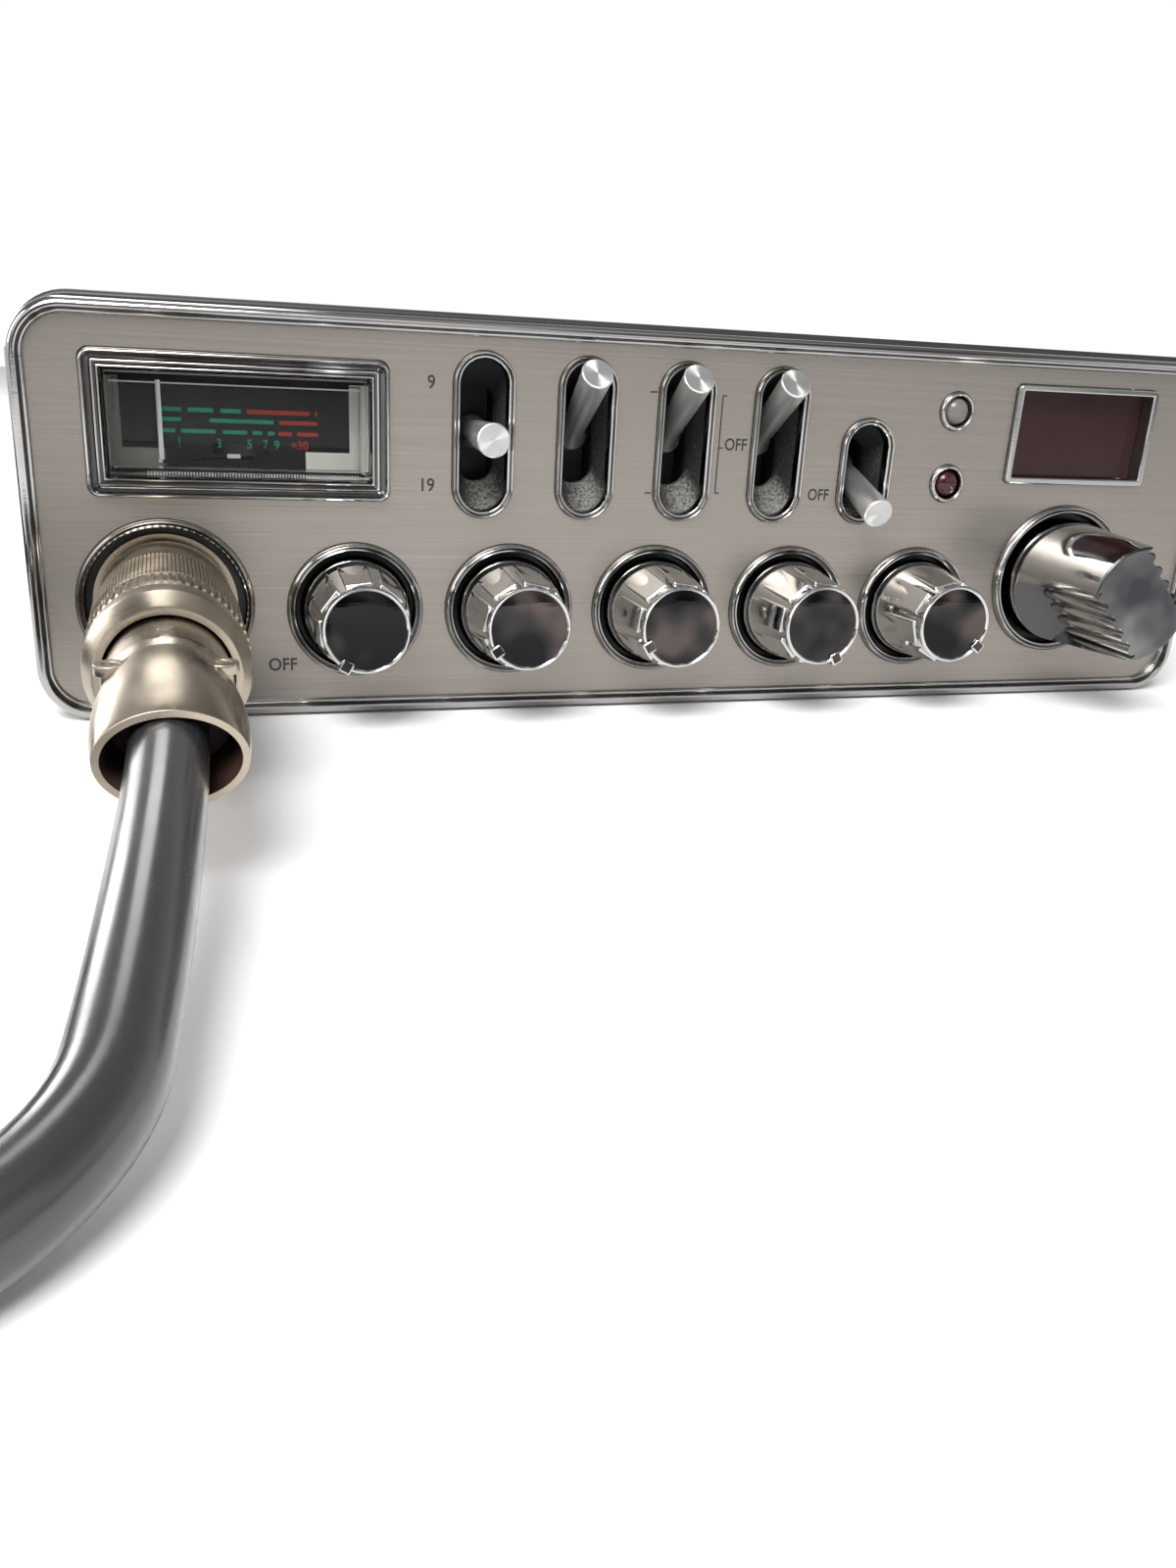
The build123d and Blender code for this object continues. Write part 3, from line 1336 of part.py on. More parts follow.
# Strain relief: a tapered ribbed sleeve, necked where the shells hold it
with BuildPart(relief_plane) as strain_relief:
    Cone(relief_root_radius, relief_tip_radius, relief_length, align=(Align.CENTER, Align.CENTER, Align.MIN))
    groove_pitch = relief_length / (relief_groove_count + 1)
    for i in range(relief_groove_count):
        with Locations((0, 0, groove_pitch * (i + 1))):
            Cylinder(relief_root_radius, relief_groove, mode=Mode.SUBTRACT)
    Cylinder(relief_neck_radius, relief_length - relief_groove,
             align=(Align.CENTER, Align.CENTER, Align.MIN))
    Cylinder(relief_neck_radius, hand_wall, align=(Align.CENTER, Align.CENTER, Align.MAX))
    with Locations((0, 0, -hand_wall)):
        Cylinder(relief_root_radius, relief_flange, align=(Align.CENTER, Align.CENTER, Align.MAX))
    with Locations((0, 0, relief_length - relief_bore_depth)):
        Cylinder(cord_radius + fit_gap, relief_length, align=(Align.CENTER, Align.CENTER, Align.MIN),
                 mode=Mode.SUBTRACT)
    Cylinder(wire_hole_radius, 2 * relief_length, mode=Mode.SUBTRACT)
write_part(strain_relief.part, "strain_relief")

# Microphone screws, from the back
with BuildPart() as mic_case_screws:
    with BuildSketch(hand_plane(hand_screw_sink)):
        with Locations(*hand_screw_points):
            Circle(hand_screw_head)
    extrude(amount=-hand_screw_head_thick)
    with BuildSketch(hand_plane(hand_screw_sink)):
        with Locations(*hand_screw_points):
            Circle(hand_screw_radius)
    extrude(amount=hand_split + hand_screw_bite - hand_screw_sink)
write_part(mic_case_screws.part, "mic_case_screws")

# Chassis: side walls, front and rear walls, ledges for the board and bosses for a bracket
rear_y = case_depth - panel_ahead
chassis_front_y = chassis_front_depth - panel_ahead
chassis_inner = chassis_half - chassis_sheet
side_length = rear_y - chassis_front_y
side_middle = (rear_y + chassis_front_y) / 2
cover_screw_points = [(y, cover_split + rise) for rise in (cover_screw_inset, -cover_screw_inset)
                      for y in (chassis_front_y + cover_screw_end_gap, rear_y - cover_screw_end_gap)]
jack_points = [(jack_first_x + jack_pitch * i, jack_z) for i in range(2)]


def rear(behind):
    """Plane parallel to the rear wall, this far behind its outside, looking backwards."""
    return Plane(origin=(0, rear_y + behind, 0), x_dir=(-1, 0, 0), z_dir=(0, 1, 0))


def rear_points(points):
    """Places of (x, z) as points of a rear plane, whose x runs the other way."""
    return [(-x, z) for x, z in points]


with BuildPart() as chassis_frame:
    with BuildSketch(front(-chassis_front_depth)):
        with Locations((0, (chassis_high + chassis_low) / 2)):
            RectangleRounded(2 * chassis_half, chassis_high - chassis_low, cover_corner - cover_sheet)
    extrude(amount=-side_length)
    with BuildSketch(Plane.XY):
        with Locations((0, side_middle)):
            Rectangle(2 * chassis_inner, side_length - 2 * chassis_sheet)
    extrude(amount=panel_height, mode=Mode.SUBTRACT)
    ledge_length = rear_y - board_rear_gap + panel_ahead + ledge_front_ahead
    ledge_y = rear_y - board_rear_gap
    for side in (1, -1):
        with BuildSketch(Plane.XY.offset(board_z)):
            with Locations((side * (chassis_inner - ledge_width / 2), ledge_y)):
                Rectangle(ledge_width, ledge_length, align=(Align.CENTER, Align.MAX))
        extrude(amount=-chassis_sheet)
        with BuildSketch(Plane.YZ.offset(side * chassis_half)):
            with Locations((bracket_y, cover_split)):
                Circle(bracket_boss_radius)
        extrude(amount=-side * bracket_boss_length)
        with BuildSketch(Plane.YZ.offset(side * chassis_half)):
            with Locations((bracket_y, cover_split)):
                Circle(bracket_thread_radius)
            with Locations(*cover_screw_points):
                Circle(cover_screw_radius + fit_gap)
        extrude(amount=-side * (bracket_boss_length + overrun), mode=Mode.SUBTRACT)
    with BuildSketch(front(-chassis_front_depth)):
        with Locations(*knob_points, channel_point):
            Circle(bush_radius)
        for point in slot_points:
            with Locations(point):
                Rectangle(switch_terminal_pitch + 2 * switch_terminal_width,
                          2 * switch_terminal_pitch + 4 * switch_terminal_width)
    extrude(amount=-chassis_sheet, mode=Mode.SUBTRACT)
    with BuildSketch(rear(0)):
        with Locations(*rear_points([(antenna_x, antenna_z)])):
            Circle(antenna_behind_radius + fit_gap)
        with Locations(*rear_points(jack_points)):
            Circle(jack_barrel_radius + fit_gap)
        with Locations(*rear_points([(inlet_x, inlet_z)])):
            Rectangle(inlet_width - 2 * inlet_flange, inlet_height - 2 * inlet_flange)
    extrude(amount=-chassis_sheet, mode=Mode.SUBTRACT)
write_part(chassis_frame.part, "chassis_frame")


def cover_shell(low_z, high_z):
    """One half of the folded cover: the sheet's ring between two heights, along the case."""
    with BuildSketch(front(-escutcheon_depth - run_gap)) as ring:
        with Locations((0, cover_top / 2)):
            RectangleRounded(2 * cover_half_width, cover_top, cover_corner)
            RectangleRounded(2 * (cover_half_width - cover_sheet), cover_top - 2 * cover_sheet,
                             cover_corner - cover_sheet, mode=Mode.SUBTRACT)
        with Locations((0, (low_z + high_z) / 2)):
            Rectangle(2 * (cover_half_width + overrun), high_z - low_z, mode=Mode.INTERSECT)
    extrude(ring.sketch, amount=escutcheon_depth + run_gap - case_depth)


def cover_holes(points):
    """Holes through both sides of a cover: for its screws, and round the bracket's bosses."""
    with BuildSketch(Plane.YZ) as holes:
        with Locations(*points):
            Circle(cover_screw_radius + fit_gap)
        with Locations((bracket_y, cover_split)):
            Circle(bracket_boss_radius + bracket_hole_clearance)
    extrude(holes.sketch, amount=cover_half_width + overrun, both=True, mode=Mode.SUBTRACT)


# Top cover, with two rows of cooling slots
with BuildPart() as top_cover:
    cover_shell(cover_split + cover_split_gap, cover_top)
    cover_holes(cover_screw_points[:2])
    with BuildSketch(Plane.XY.offset(cover_top)):
        with Locations((0, -panel_ahead - vent_row_ahead)):
            with GridLocations(vent_pitch, vent_row_gap, vent_count, 2):
                SlotOverall(vent_length, vent_width, rotation=90)
    extrude(amount=-cover_sheet, mode=Mode.SUBTRACT)
write_part(top_cover.part, "top_cover")

# Bottom cover, with the slots under the loudspeaker
speaker_y = -panel_ahead - speaker_ahead
slot_reach = speaker_hole_radius - speaker_slot_width
slot_rows = int((slot_reach - speaker_slot_width) / speaker_slot_pitch)
with BuildPart() as bottom_cover:
    cover_shell(0, cover_split - cover_split_gap)
    cover_holes(cover_screw_points[2:])
    with BuildSketch(Plane.XY):
        with Locations((0, speaker_y)):
            for i in range(-slot_rows, slot_rows + 1):
                slot_y = i * speaker_slot_pitch
                with Locations((0, slot_y)):
                    SlotOverall(2 * sqrt(slot_reach ** 2 - slot_y ** 2), speaker_slot_width)
    extrude(amount=cover_sheet, mode=Mode.SUBTRACT)
write_part(bottom_cover.part, "bottom_cover")

# Cover screws: two on each side of each cover
with BuildPart() as cover_screws:
    for side in (1, -1):
        with BuildSketch(Plane.YZ.offset(side * cover_half_width)):
            with Locations(*cover_screw_points):
                Circle(cover_screw_head)
        extrude(amount=side * cover_screw_head_thick)
        with BuildSketch(Plane.YZ.offset(side * cover_half_width)):
            with Locations(*cover_screw_points):
                Circle(cover_screw_radius)
        extrude(amount=-side * cover_screw_length)
write_part(cover_screws.part, "cover_screws")

# Heat sink on the rear wall, with upright fins
heatsink_middle = (heatsink_low_z + heatsink_high_z) / 2
fin_pitch = (2 * heatsink_half_width - heatsink_fin) / (heatsink_fin_count - 1)
with BuildPart() as heatsink:
    with BuildSketch(rear(0)):
        with Locations((0, heatsink_middle)):
            Rectangle(2 * heatsink_half_width, heatsink_high_z - heatsink_low_z)
    extrude(amount=heatsink_base)
    with BuildSketch(rear(0)):
        with Locations((0, heatsink_middle)):
            with GridLocations(fin_pitch, 0, heatsink_fin_count, 1):
                Rectangle(heatsink_fin, heatsink_high_z - heatsink_low_z)
    extrude(amount=heatsink_depth)
write_part(heatsink.part, "heatsink")

# Antenna socket: a square flange, a threaded barrel and the centre contact's bore
with BuildPart(rear(0)) as antenna_socket:
    with Locations(*rear_points([(antenna_x, antenna_z)])):
        Box(antenna_flange, antenna_flange, antenna_flange_thick,
            align=(Align.CENTER, Align.CENTER, Align.MIN))
        Cylinder(antenna_radius, antenna_flange_thick + antenna_length,
                 align=(Align.CENTER, Align.CENTER, Align.MIN))
        Cylinder(antenna_behind_radius, antenna_behind, align=(Align.CENTER, Align.CENTER, Align.MAX))
        with Locations((0, 0, antenna_flange_thick + antenna_length)):
            Cylinder(antenna_well_radius, antenna_well_depth, align=(Align.CENTER, Align.CENTER, Align.MAX),
                     mode=Mode.SUBTRACT)
            Cylinder(antenna_contact_bore, antenna_contact_depth, mode=Mode.SUBTRACT,
                     align=(Align.CENTER, Align.CENTER, Align.MAX))
write_part(antenna_socket.part, "antenna_socket")

# Two small jacks: a barrel through the rear wall and a square body inside
with BuildPart() as audio_jacks:
    for point in rear_points(jack_points):
        with BuildSketch(rear(-chassis_sheet)):
            with Locations(point):
                Circle(jack_barrel_radius)
        extrude(amount=chassis_sheet + jack_proud)
        with BuildSketch(rear(-chassis_sheet)):
            with Locations(point):
                Rectangle(2 * jack_body_half, 2 * jack_body_half)
        extrude(amount=-jack_depth)
        with BuildSketch(rear(jack_proud)):
            with Locations(point):
                Circle(jack_bore)
        extrude(amount=-jack_depth, mode=Mode.SUBTRACT)
write_part(audio_jacks.part, "audio_jacks")

# Power inlet: a flanged socket with three pins in it
inlet_point = rear_points([(inlet_x, inlet_z)])
with BuildPart() as power_inlet:
    with BuildSketch(rear(0)):
        with Locations(*inlet_point):
            Rectangle(inlet_width, inlet_height)
    extrude(amount=inlet_proud)
    with BuildSketch(rear(0)):
        with Locations(*inlet_point):
            Rectangle(inlet_width - 2 * (inlet_flange + seat_gap), inlet_height - 2 * (inlet_flange + seat_gap))
    extrude(amount=-inlet_depth)
    with BuildSketch(rear(inlet_proud)):
        with Locations(*inlet_point):
            Rectangle(inlet_width - 2 * (inlet_flange + inlet_wall),
                      inlet_height - 2 * (inlet_flange + inlet_wall))
    extrude(amount=-inlet_socket_depth, mode=Mode.SUBTRACT)
    with BuildSketch(rear(inlet_proud - inlet_socket_depth)):
        with Locations(*inlet_point):
            with GridLocations(inlet_pin_pitch, 0, 3, 1):
                Circle(inlet_pin_radius)
    extrude(amount=inlet_socket_depth - inlet_pin_drop)
write_part(power_inlet.part, "power_inlet")

# Loudspeaker in the bottom cover: a basket with its magnet, and a paper cone
speaker_plane = Plane(origin=(0, speaker_y, cover_sheet), x_dir=(1, 0, 0), z_dir=(0, -1, 0))
basket_rise = speaker_depth - speaker_flange_thick
with BuildPart() as speaker:
    with BuildSketch(speaker_plane):
        with BuildLine():
            Polyline((speaker_hole_radius, 0), (speaker_radius, 0), (speaker_radius, speaker_flange_thick),
                     (speaker_hole_radius + speaker_flange_thick, speaker_flange_thick),
                     (speaker_throat_radius + speaker_flange_thick, speaker_depth), (magnet_radius, speaker_depth),
                     (magnet_radius, speaker_depth + magnet_height), (0, speaker_depth + magnet_height),
                     (0, speaker_depth), (speaker_throat_radius, speaker_depth),
                     (speaker_hole_radius, speaker_flange_thick), close=True)
        make_face()
    revolve(axis=Axis((0, speaker_y, 0), (0, 0, 1)))
write_part(speaker.part, "speaker")

cone_reach = speaker_hole_radius - cone_gap
cone_throat = speaker_throat_radius - cone_gap
with BuildPart() as speaker_cone:
    with BuildSketch(speaker_plane):
        with BuildLine():
            Polyline((cone_reach, speaker_flange_thick), (cone_throat, speaker_depth - cone_gap),
                     (0, speaker_depth - cone_gap), (0, speaker_depth - cone_gap - cone_thick),
                     (cone_throat - cone_thick, speaker_depth - cone_gap - cone_thick),
                     (cone_reach - 2 * cone_thick, speaker_flange_thick - cone_thick),
                     (cone_reach, speaker_flange_thick - cone_thick), close=True)
        make_face()
    revolve(axis=Axis((0, speaker_y, 0), (0, 0, 1)))
write_part(speaker_cone.part, "speaker_cone")

# Circuit board on the ledges, and what stands on it
board_half = chassis_inner - seat_gap
board_front_y = -panel_ahead - ledge_front_ahead
board_back_y = rear_y - board_rear_gap
board_length = board_back_y - board_front_y
board_middle = (board_back_y + board_front_y) / 2
with BuildPart() as circuit_board:
    with BuildSketch(Plane.XY.offset(board_z)):
        with Locations((0, board_middle)):
            Rectangle(2 * board_half, board_length)
        for side in (1, -1):
            with Locations((side * board_half, bracket_y)):
                Rectangle(2 * bracket_boss_length, 2 * (bracket_boss_radius + seat_gap), mode=Mode.SUBTRACT)
    extrude(amount=board_thick)
write_part(circuit_board.part, "circuit_board")

can_place_shares = [(-0.75, -0.70), (-0.55, -0.70), (-0.35, -0.70), (-0.15, -0.70), (-0.75, -0.30),
                    (-0.55, -0.30), (-0.35, -0.30), (0.45, -0.55), (0.65, -0.55)]
capacitor_place_shares = [(-0.80, 0.15), (-0.60, 0.20), (0.05, -0.20), (0.20, -0.65), (0.80, -0.15),
                          (0.78, 0.30), (-0.20, 0.25)]
chip_place_shares = [(0.30, -0.10), (0.02, 0.22), (0.50, 0.22)]
transistor_place_shares = [(-0.30, 0.88), (-0.10, 0.88), (0.10, 0.88), (0.30, 0.88)]


def board_places(shares):
    """Points on the board from shares of its half width and half length."""
    return [(board_half * x, board_middle + board_length / 2 * y) for x, y in shares]


with BuildPart(Plane.XY.offset(board_z + board_thick)) as board_components:
    with Locations(*board_places(can_place_shares)):
        Box(can_width, can_width, can_height, align=(Align.CENTER, Align.CENTER, Align.MIN))
    with Locations(*board_places(capacitor_place_shares)):
        Cylinder(capacitor_radius, capacitor_height, align=(Align.CENTER, Align.CENTER, Align.MIN))
    with Locations(*board_places(chip_place_shares)):
        Box(chip_length, chip_width, chip_height, align=(Align.CENTER, Align.CENTER, Align.MIN))
    with Locations(*board_places(transistor_place_shares)):
        Box(transistor_width, transistor_thick, transistor_height,
            align=(Align.CENTER, Align.CENTER, Align.MIN))
write_part(board_components.part, "board_components")
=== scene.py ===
# %% [markdown]
# A mobile two-way radio, photographed close to its face with a wide lens. The pieces come in
# already placed and sized. What follows gives them their finish, and builds anew the pieces
# whose turned, knurled or moulded shapes need more than the plain solids show.

# %% Load the frame
import bpy
import json
from math import atan2, cos, hypot, pi, radians, sin
from mathutils import Matrix, Vector


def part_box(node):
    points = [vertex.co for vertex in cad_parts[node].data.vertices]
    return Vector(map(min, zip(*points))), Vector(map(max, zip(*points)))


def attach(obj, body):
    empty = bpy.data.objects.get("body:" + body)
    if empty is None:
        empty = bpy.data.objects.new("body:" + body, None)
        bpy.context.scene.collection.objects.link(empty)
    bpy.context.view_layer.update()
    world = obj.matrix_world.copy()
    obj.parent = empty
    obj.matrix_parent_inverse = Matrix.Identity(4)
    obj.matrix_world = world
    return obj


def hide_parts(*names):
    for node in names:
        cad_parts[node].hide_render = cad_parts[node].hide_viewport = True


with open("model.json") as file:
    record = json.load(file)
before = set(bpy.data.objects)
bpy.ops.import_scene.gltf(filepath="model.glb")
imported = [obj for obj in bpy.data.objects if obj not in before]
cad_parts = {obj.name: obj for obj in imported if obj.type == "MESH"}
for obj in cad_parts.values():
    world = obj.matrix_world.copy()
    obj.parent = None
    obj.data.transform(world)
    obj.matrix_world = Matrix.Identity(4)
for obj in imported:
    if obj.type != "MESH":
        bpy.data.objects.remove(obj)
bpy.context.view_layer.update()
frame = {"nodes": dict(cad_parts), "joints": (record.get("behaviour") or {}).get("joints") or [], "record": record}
MM = 0.001
MATERIAL_SLOTS = {entry["node"]: entry["material_slot"]
                  for entry in frame["record"]["subparts"]}
PIVOTS = {joint["child"]: Vector(joint["pos_m"])
          for joint in frame["joints"] if "pos_m" in joint}

# %% [markdown]
# The face plate's front is the plane that nearly everything is measured from. Places on the
# face are given as x, height and distance ahead of that plane.

# %% Places on the face
FACE_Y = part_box("face_plate")[0][1]


def on_face(x, z, ahead=0.0):
    """A point of the model from its place on the face."""
    return Vector((x, FACE_Y - ahead, z))


def middle(node):
    """The middle of a node's box."""
    low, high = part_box(node)
    return (Vector(low) + Vector(high)) / 2


print("face plate's front at y =", round(FACE_Y, 4))

# %% [markdown]
# The camera comes first. The photograph was taken from about 190 mm in front of the face, to
# the left of its middle, looking right and down, so the left end of the face looks much
# larger. Its place and angles were worked out from the round rings and the straight edges.

# %% Camera
EYE_AHEAD = 188.5 * MM
EYE_X = -73.2 * MM
EYE_Z = 56.8 * MM
YAW, PITCH, ROLL = radians(17.234), radians(-19.837), radians(3.241)
LENS, SENSOR_WIDTH = 28.02, 36.0
NEAREST_SEEN = 0.01

camera_data = bpy.data.cameras.new("camera")
camera_data.lens = LENS
camera_data.sensor_width = SENSOR_WIDTH
camera_data.clip_start = NEAREST_SEEN
camera = bpy.data.objects.new("camera", camera_data)
bpy.context.scene.collection.objects.link(camera)
turn = (Matrix.Rotation(-YAW, 4, "Z") @ Matrix.Rotation(pi / 2 + PITCH, 4, "X")
        @ Matrix.Rotation(ROLL, 4, "Z"))
camera.matrix_world = Matrix.Translation(on_face(EYE_X, EYE_Z, EYE_AHEAD)) @ turn
bpy.context.scene.camera = camera
print("camera at", [round(value, 4) for value in camera.location])

# %% [markdown]
# The room: a dome that is white along the horizon behind the radio, as in the photograph, and
# darker overhead. Behind the camera it is a dim room with bright openings, so that polished
# metal has something light and something dark to mirror. A lamp from the front and one from
# the left light the radio, and two behind it put soft lights on the cord and on the knobs.
# The dome is a row of (height, grey), from straight down, 0, to straight up, 1, and the room
# is a row of (noise, grey).

# %% World and lamps
scene = bpy.context.scene
scene.view_settings.view_transform = "Standard"
DOME = [(0.0, 0.8), (0.4, 1.0), (0.64, 1.0), (0.74, 0.45), (0.86, 0.2), (1.0, 0.3)]
ROOM = [(0.0, 0.05), (0.42, 0.1), (0.5, 0.32), (0.56, 0.9), (0.66, 1.3)]
OPENINGS_SCALE = 2.3
ROOM_ENDS, DOME_STARTS = -0.3, 0.05
world = bpy.data.worlds.new("room")
scene.world = world
world.use_nodes = True
sky = world.node_tree
add, join = sky.nodes.new, sky.links.new
direction = add("ShaderNodeTexCoord")
split = add("ShaderNodeSeparateXYZ")
height = add("ShaderNodeMapRange")
dome = add("ShaderNodeValToRGB")
join(direction.outputs["Generated"], split.inputs["Vector"])
join(split.outputs["Z"], height.inputs["Value"])
height.inputs["From Min"].default_value = -1.0
join(height.outputs["Result"], dome.inputs["Fac"])
openings = add("ShaderNodeTexNoise")
openings.inputs["Scale"].default_value = OPENINGS_SCALE
openings.inputs["Detail"].default_value = 1.0
join(direction.outputs["Generated"], openings.inputs["Vector"])
room = add("ShaderNodeValToRGB")
join(openings.outputs["Fac"], room.inputs["Fac"])
for band, greys in [(dome, DOME), (room, ROOM)]:
    for position, grey in greys[1:-1]:
        band.color_ramp.elements.new(position)
    for step, (position, grey) in zip(band.color_ramp.elements, greys):
        step.position = position
        step.color = (grey, grey, grey, 1)
ahead_or_behind = add("ShaderNodeMapRange")
ahead_or_behind.inputs["From Min"].default_value = ROOM_ENDS
ahead_or_behind.inputs["From Max"].default_value = DOME_STARTS
join(split.outputs["Y"], ahead_or_behind.inputs["Value"])
whole_sky = add("ShaderNodeMix")
whole_sky.data_type = "RGBA"
join(ahead_or_behind.outputs["Result"], whole_sky.inputs["Factor"])
join(room.outputs["Color"], whole_sky.inputs["A"])
join(dome.outputs["Color"], whole_sky.inputs["B"])
join(whole_sky.outputs["Result"], sky.nodes["Background"].inputs["Color"])


def soft_box(name, place, target, width, height, watts):
    """A rectangular lamp at one place, aimed at another."""
    data = bpy.data.lights.new(name, "AREA")
    data.shape = "RECTANGLE"
    data.size = width
    data.size_y = height
    data.energy = watts
    lamp = bpy.data.objects.new(name, data)
    scene.collection.objects.link(lamp)
    lamp.location = place
    lamp.rotation_euler = (Vector(target) - Vector(place)).to_track_quat("-Z", "Y").to_euler()


soft_box("key_lamp", (-0.35, -0.75, 0.85), (0, -0.1, 0.02), 0.55, 0.45, 13.0)
soft_box("left_lamp", (-0.95, -0.35, 0.5), (0, -0.1, 0.03), 0.35, 0.6, 3.0)
soft_box("far_lamp", (-0.15, 0.39, 0.69), (-0.08, -0.2, 0.01), 0.25, 0.5, 1.7)
soft_box("far_left_lamp", (-0.63, 0.46, 0.27), (-0.08, -0.2, 0.01), 0.35, 0.35, 2.6)

# %% Floor
FLOOR_SIZE, FLOOR_DROP = 2.4, 0.2 * MM
bpy.ops.object.select_all(action="DESELECT")
bpy.ops.mesh.primitive_plane_add(size=FLOOR_SIZE, location=(0, 0, -FLOOR_DROP))
floor = bpy.context.object
floor.name = "floor"

# %% [markdown]
# Every finish starts from the same few steps: a shader with its plain values, a pattern on
# the piece's own coordinates, and that pattern spread over one of the shader's sockets. Most
# of a noise's values lie in its middle, so that is what is spread.

# %% Helpers for finishes
MATERIALS = {}
MIDDLE_START, MIDDLE_END = 0.3, 0.7


def shader_of(material):
    """A material's main shader."""
    return material.node_tree.nodes["Principled BSDF"]


def set_shader(name, **values):
    """Sets plain values on a finish's shader; a name's underscores stand for spaces."""
    for socket, value in values.items():
        shader_of(MATERIALS[name]).inputs[socket.replace("_", " ")].default_value = value


def finish(name, colour, metallic, roughness):
    """A new material with plain values on its shader."""
    material = bpy.data.materials.new(name)
    material.use_nodes = True
    MATERIALS[name] = material
    set_shader(name, Base_Color=(*colour, 1), Metallic=metallic, Roughness=roughness)
    return material


def pattern(material, scale, stretch=(1, 1, 1), detail=3.0, kind="NOISE"):
    """A noise or cell pattern in metres on the piece; gives the socket with its value."""
    nodes, links = material.node_tree.nodes, material.node_tree.links
    place = nodes.new("ShaderNodeTexCoord")
    mapping = nodes.new("ShaderNodeMapping")
    mapping.inputs["Scale"].default_value = [scale * part for part in stretch]
    links.new(place.outputs["Object"], mapping.inputs["Vector"])
    if kind == "NOISE":
        texture = nodes.new("ShaderNodeTexNoise")
        texture.inputs["Detail"].default_value = detail
        value = texture.outputs["Fac"]
    else:
        texture = nodes.new("ShaderNodeTexVoronoi")
        value = texture.outputs["Distance"]
    texture.inputs["Scale"].default_value = 1.0
    links.new(mapping.outputs["Vector"], texture.inputs["Vector"])
    return value


def spread(material, value, socket, low, high):
    """Spreads a pattern over a range of numbers on one of the shader's sockets."""
    links = material.node_tree.links
    reach = material.node_tree.nodes.new("ShaderNodeMapRange")
    limits = {"From Min": MIDDLE_START, "From Max": MIDDLE_END, "To Min": low, "To Max": high}
    for name, number in limits.items():
        reach.inputs[name].default_value = number
    links.new(value, reach.inputs["Value"])
    links.new(reach.outputs["Result"], shader_of(material).inputs[socket])


def tint(material, value, colours, start, stop):
    """Spreads a pattern, between two of its values, over a row of colours."""
    links = material.node_tree.links
    band = material.node_tree.nodes.new("ShaderNodeValToRGB")
    steps = band.color_ramp.elements
    while len(steps) < len(colours):
        steps.new(0.5)
    for i, colour in enumerate(colours):
        steps[i].position = start + (stop - start) * i / (len(colours) - 1)
        steps[i].color = (*colour, 1)
    links.new(value, band.inputs["Fac"])
    links.new(band.outputs["Color"], shader_of(material).inputs["Base Color"])


def relief(material, value, depth, strength):
    """Lets a pattern raise and lower the surface a little, by a depth in metres."""
    links = material.node_tree.links
    bump = material.node_tree.nodes.new("ShaderNodeBump")
    bump.inputs["Distance"].default_value = depth
    bump.inputs["Strength"].default_value = strength
    normal = shader_of(material).inputs["Normal"]
    if normal.is_linked:
        links.new(normal.links[0].from_socket, bump.inputs["Normal"])
    links.new(value, bump.inputs["Height"])
    links.new(bump.outputs["Normal"], normal)


def paint(piece, *names):
    """Gives a piece its finishes, in the order of their use."""
    piece.data.materials.clear()
    for name in names:
        piece.data.materials.append(MATERIALS[name])


# %% [markdown]
# The floor is a plain pale surface. Where the camera or a mirror sees it, it is close to white,
# as in the photograph, and it still takes the radio's shadow.

# %% Floor finish
floor_finish = finish("pale_floor", (0.93, 0.93, 0.93), 0.0, 0.9)
spread(floor_finish, pattern(floor_finish, 40), "Roughness", 0.85, 0.95)
paint(floor, "pale_floor")

# %% [markdown]
# The cord is a smooth round lead of 8 mm. It leaves the plug, droops to the table, lies in a
# coil beside the radio and goes into the microphone. One smooth curve with listed points
# suits it, and the turns of the coil come from a loop. A point is written as x, distance
# ahead of the face and height, in millimetres.

# %% Cord route
CORD_RADIUS = 4.0
PLATE_AHEAD = -FACE_Y / MM
LEAN = radians(2.1)
MIC_X, MIC_Z = -81.4, 17.2
CORD_START = 54.5
COIL_RADIUS, COIL_PITCH = 52.0, 9.0
TURNS_IN, TURNS_OUT, CLIMB_TURNS = 2.0, 2.25, 0.5
LAYER_RISE = 8.7
COIL_X, COIL_FRONT = -158.0, 122.5
POINTS_PER_TURN = 16
CORD_DETAIL = 6


def plug_axis(ahead):
    """A point of the plug's axis as x, distance ahead of the face and height, in millimetres."""
    return (MIC_X + ahead * sin(LEAN), ahead * cos(LEAN), MIC_Z)


def coil_point(turn):
    """A point of the coil's middle line, so many turns from its start, in and out again."""
    inward, outward = min(turn, TURNS_IN), max(turn - TURNS_IN, 0)
    radius = COIL_RADIUS - COIL_PITCH * (inward - outward)
    climb = min(max((turn - TURNS_IN) / CLIMB_TURNS + 0.5, 0), 1)
    rise = LAYER_RISE * climb * climb * (3 - 2 * climb)
    angle = radians(-90 - 360 * turn)
    ahead = COIL_FRONT - COIL_RADIUS - radius * sin(angle)
    return (COIL_X + radius * cos(angle), ahead, CORD_RADIUS + rise)


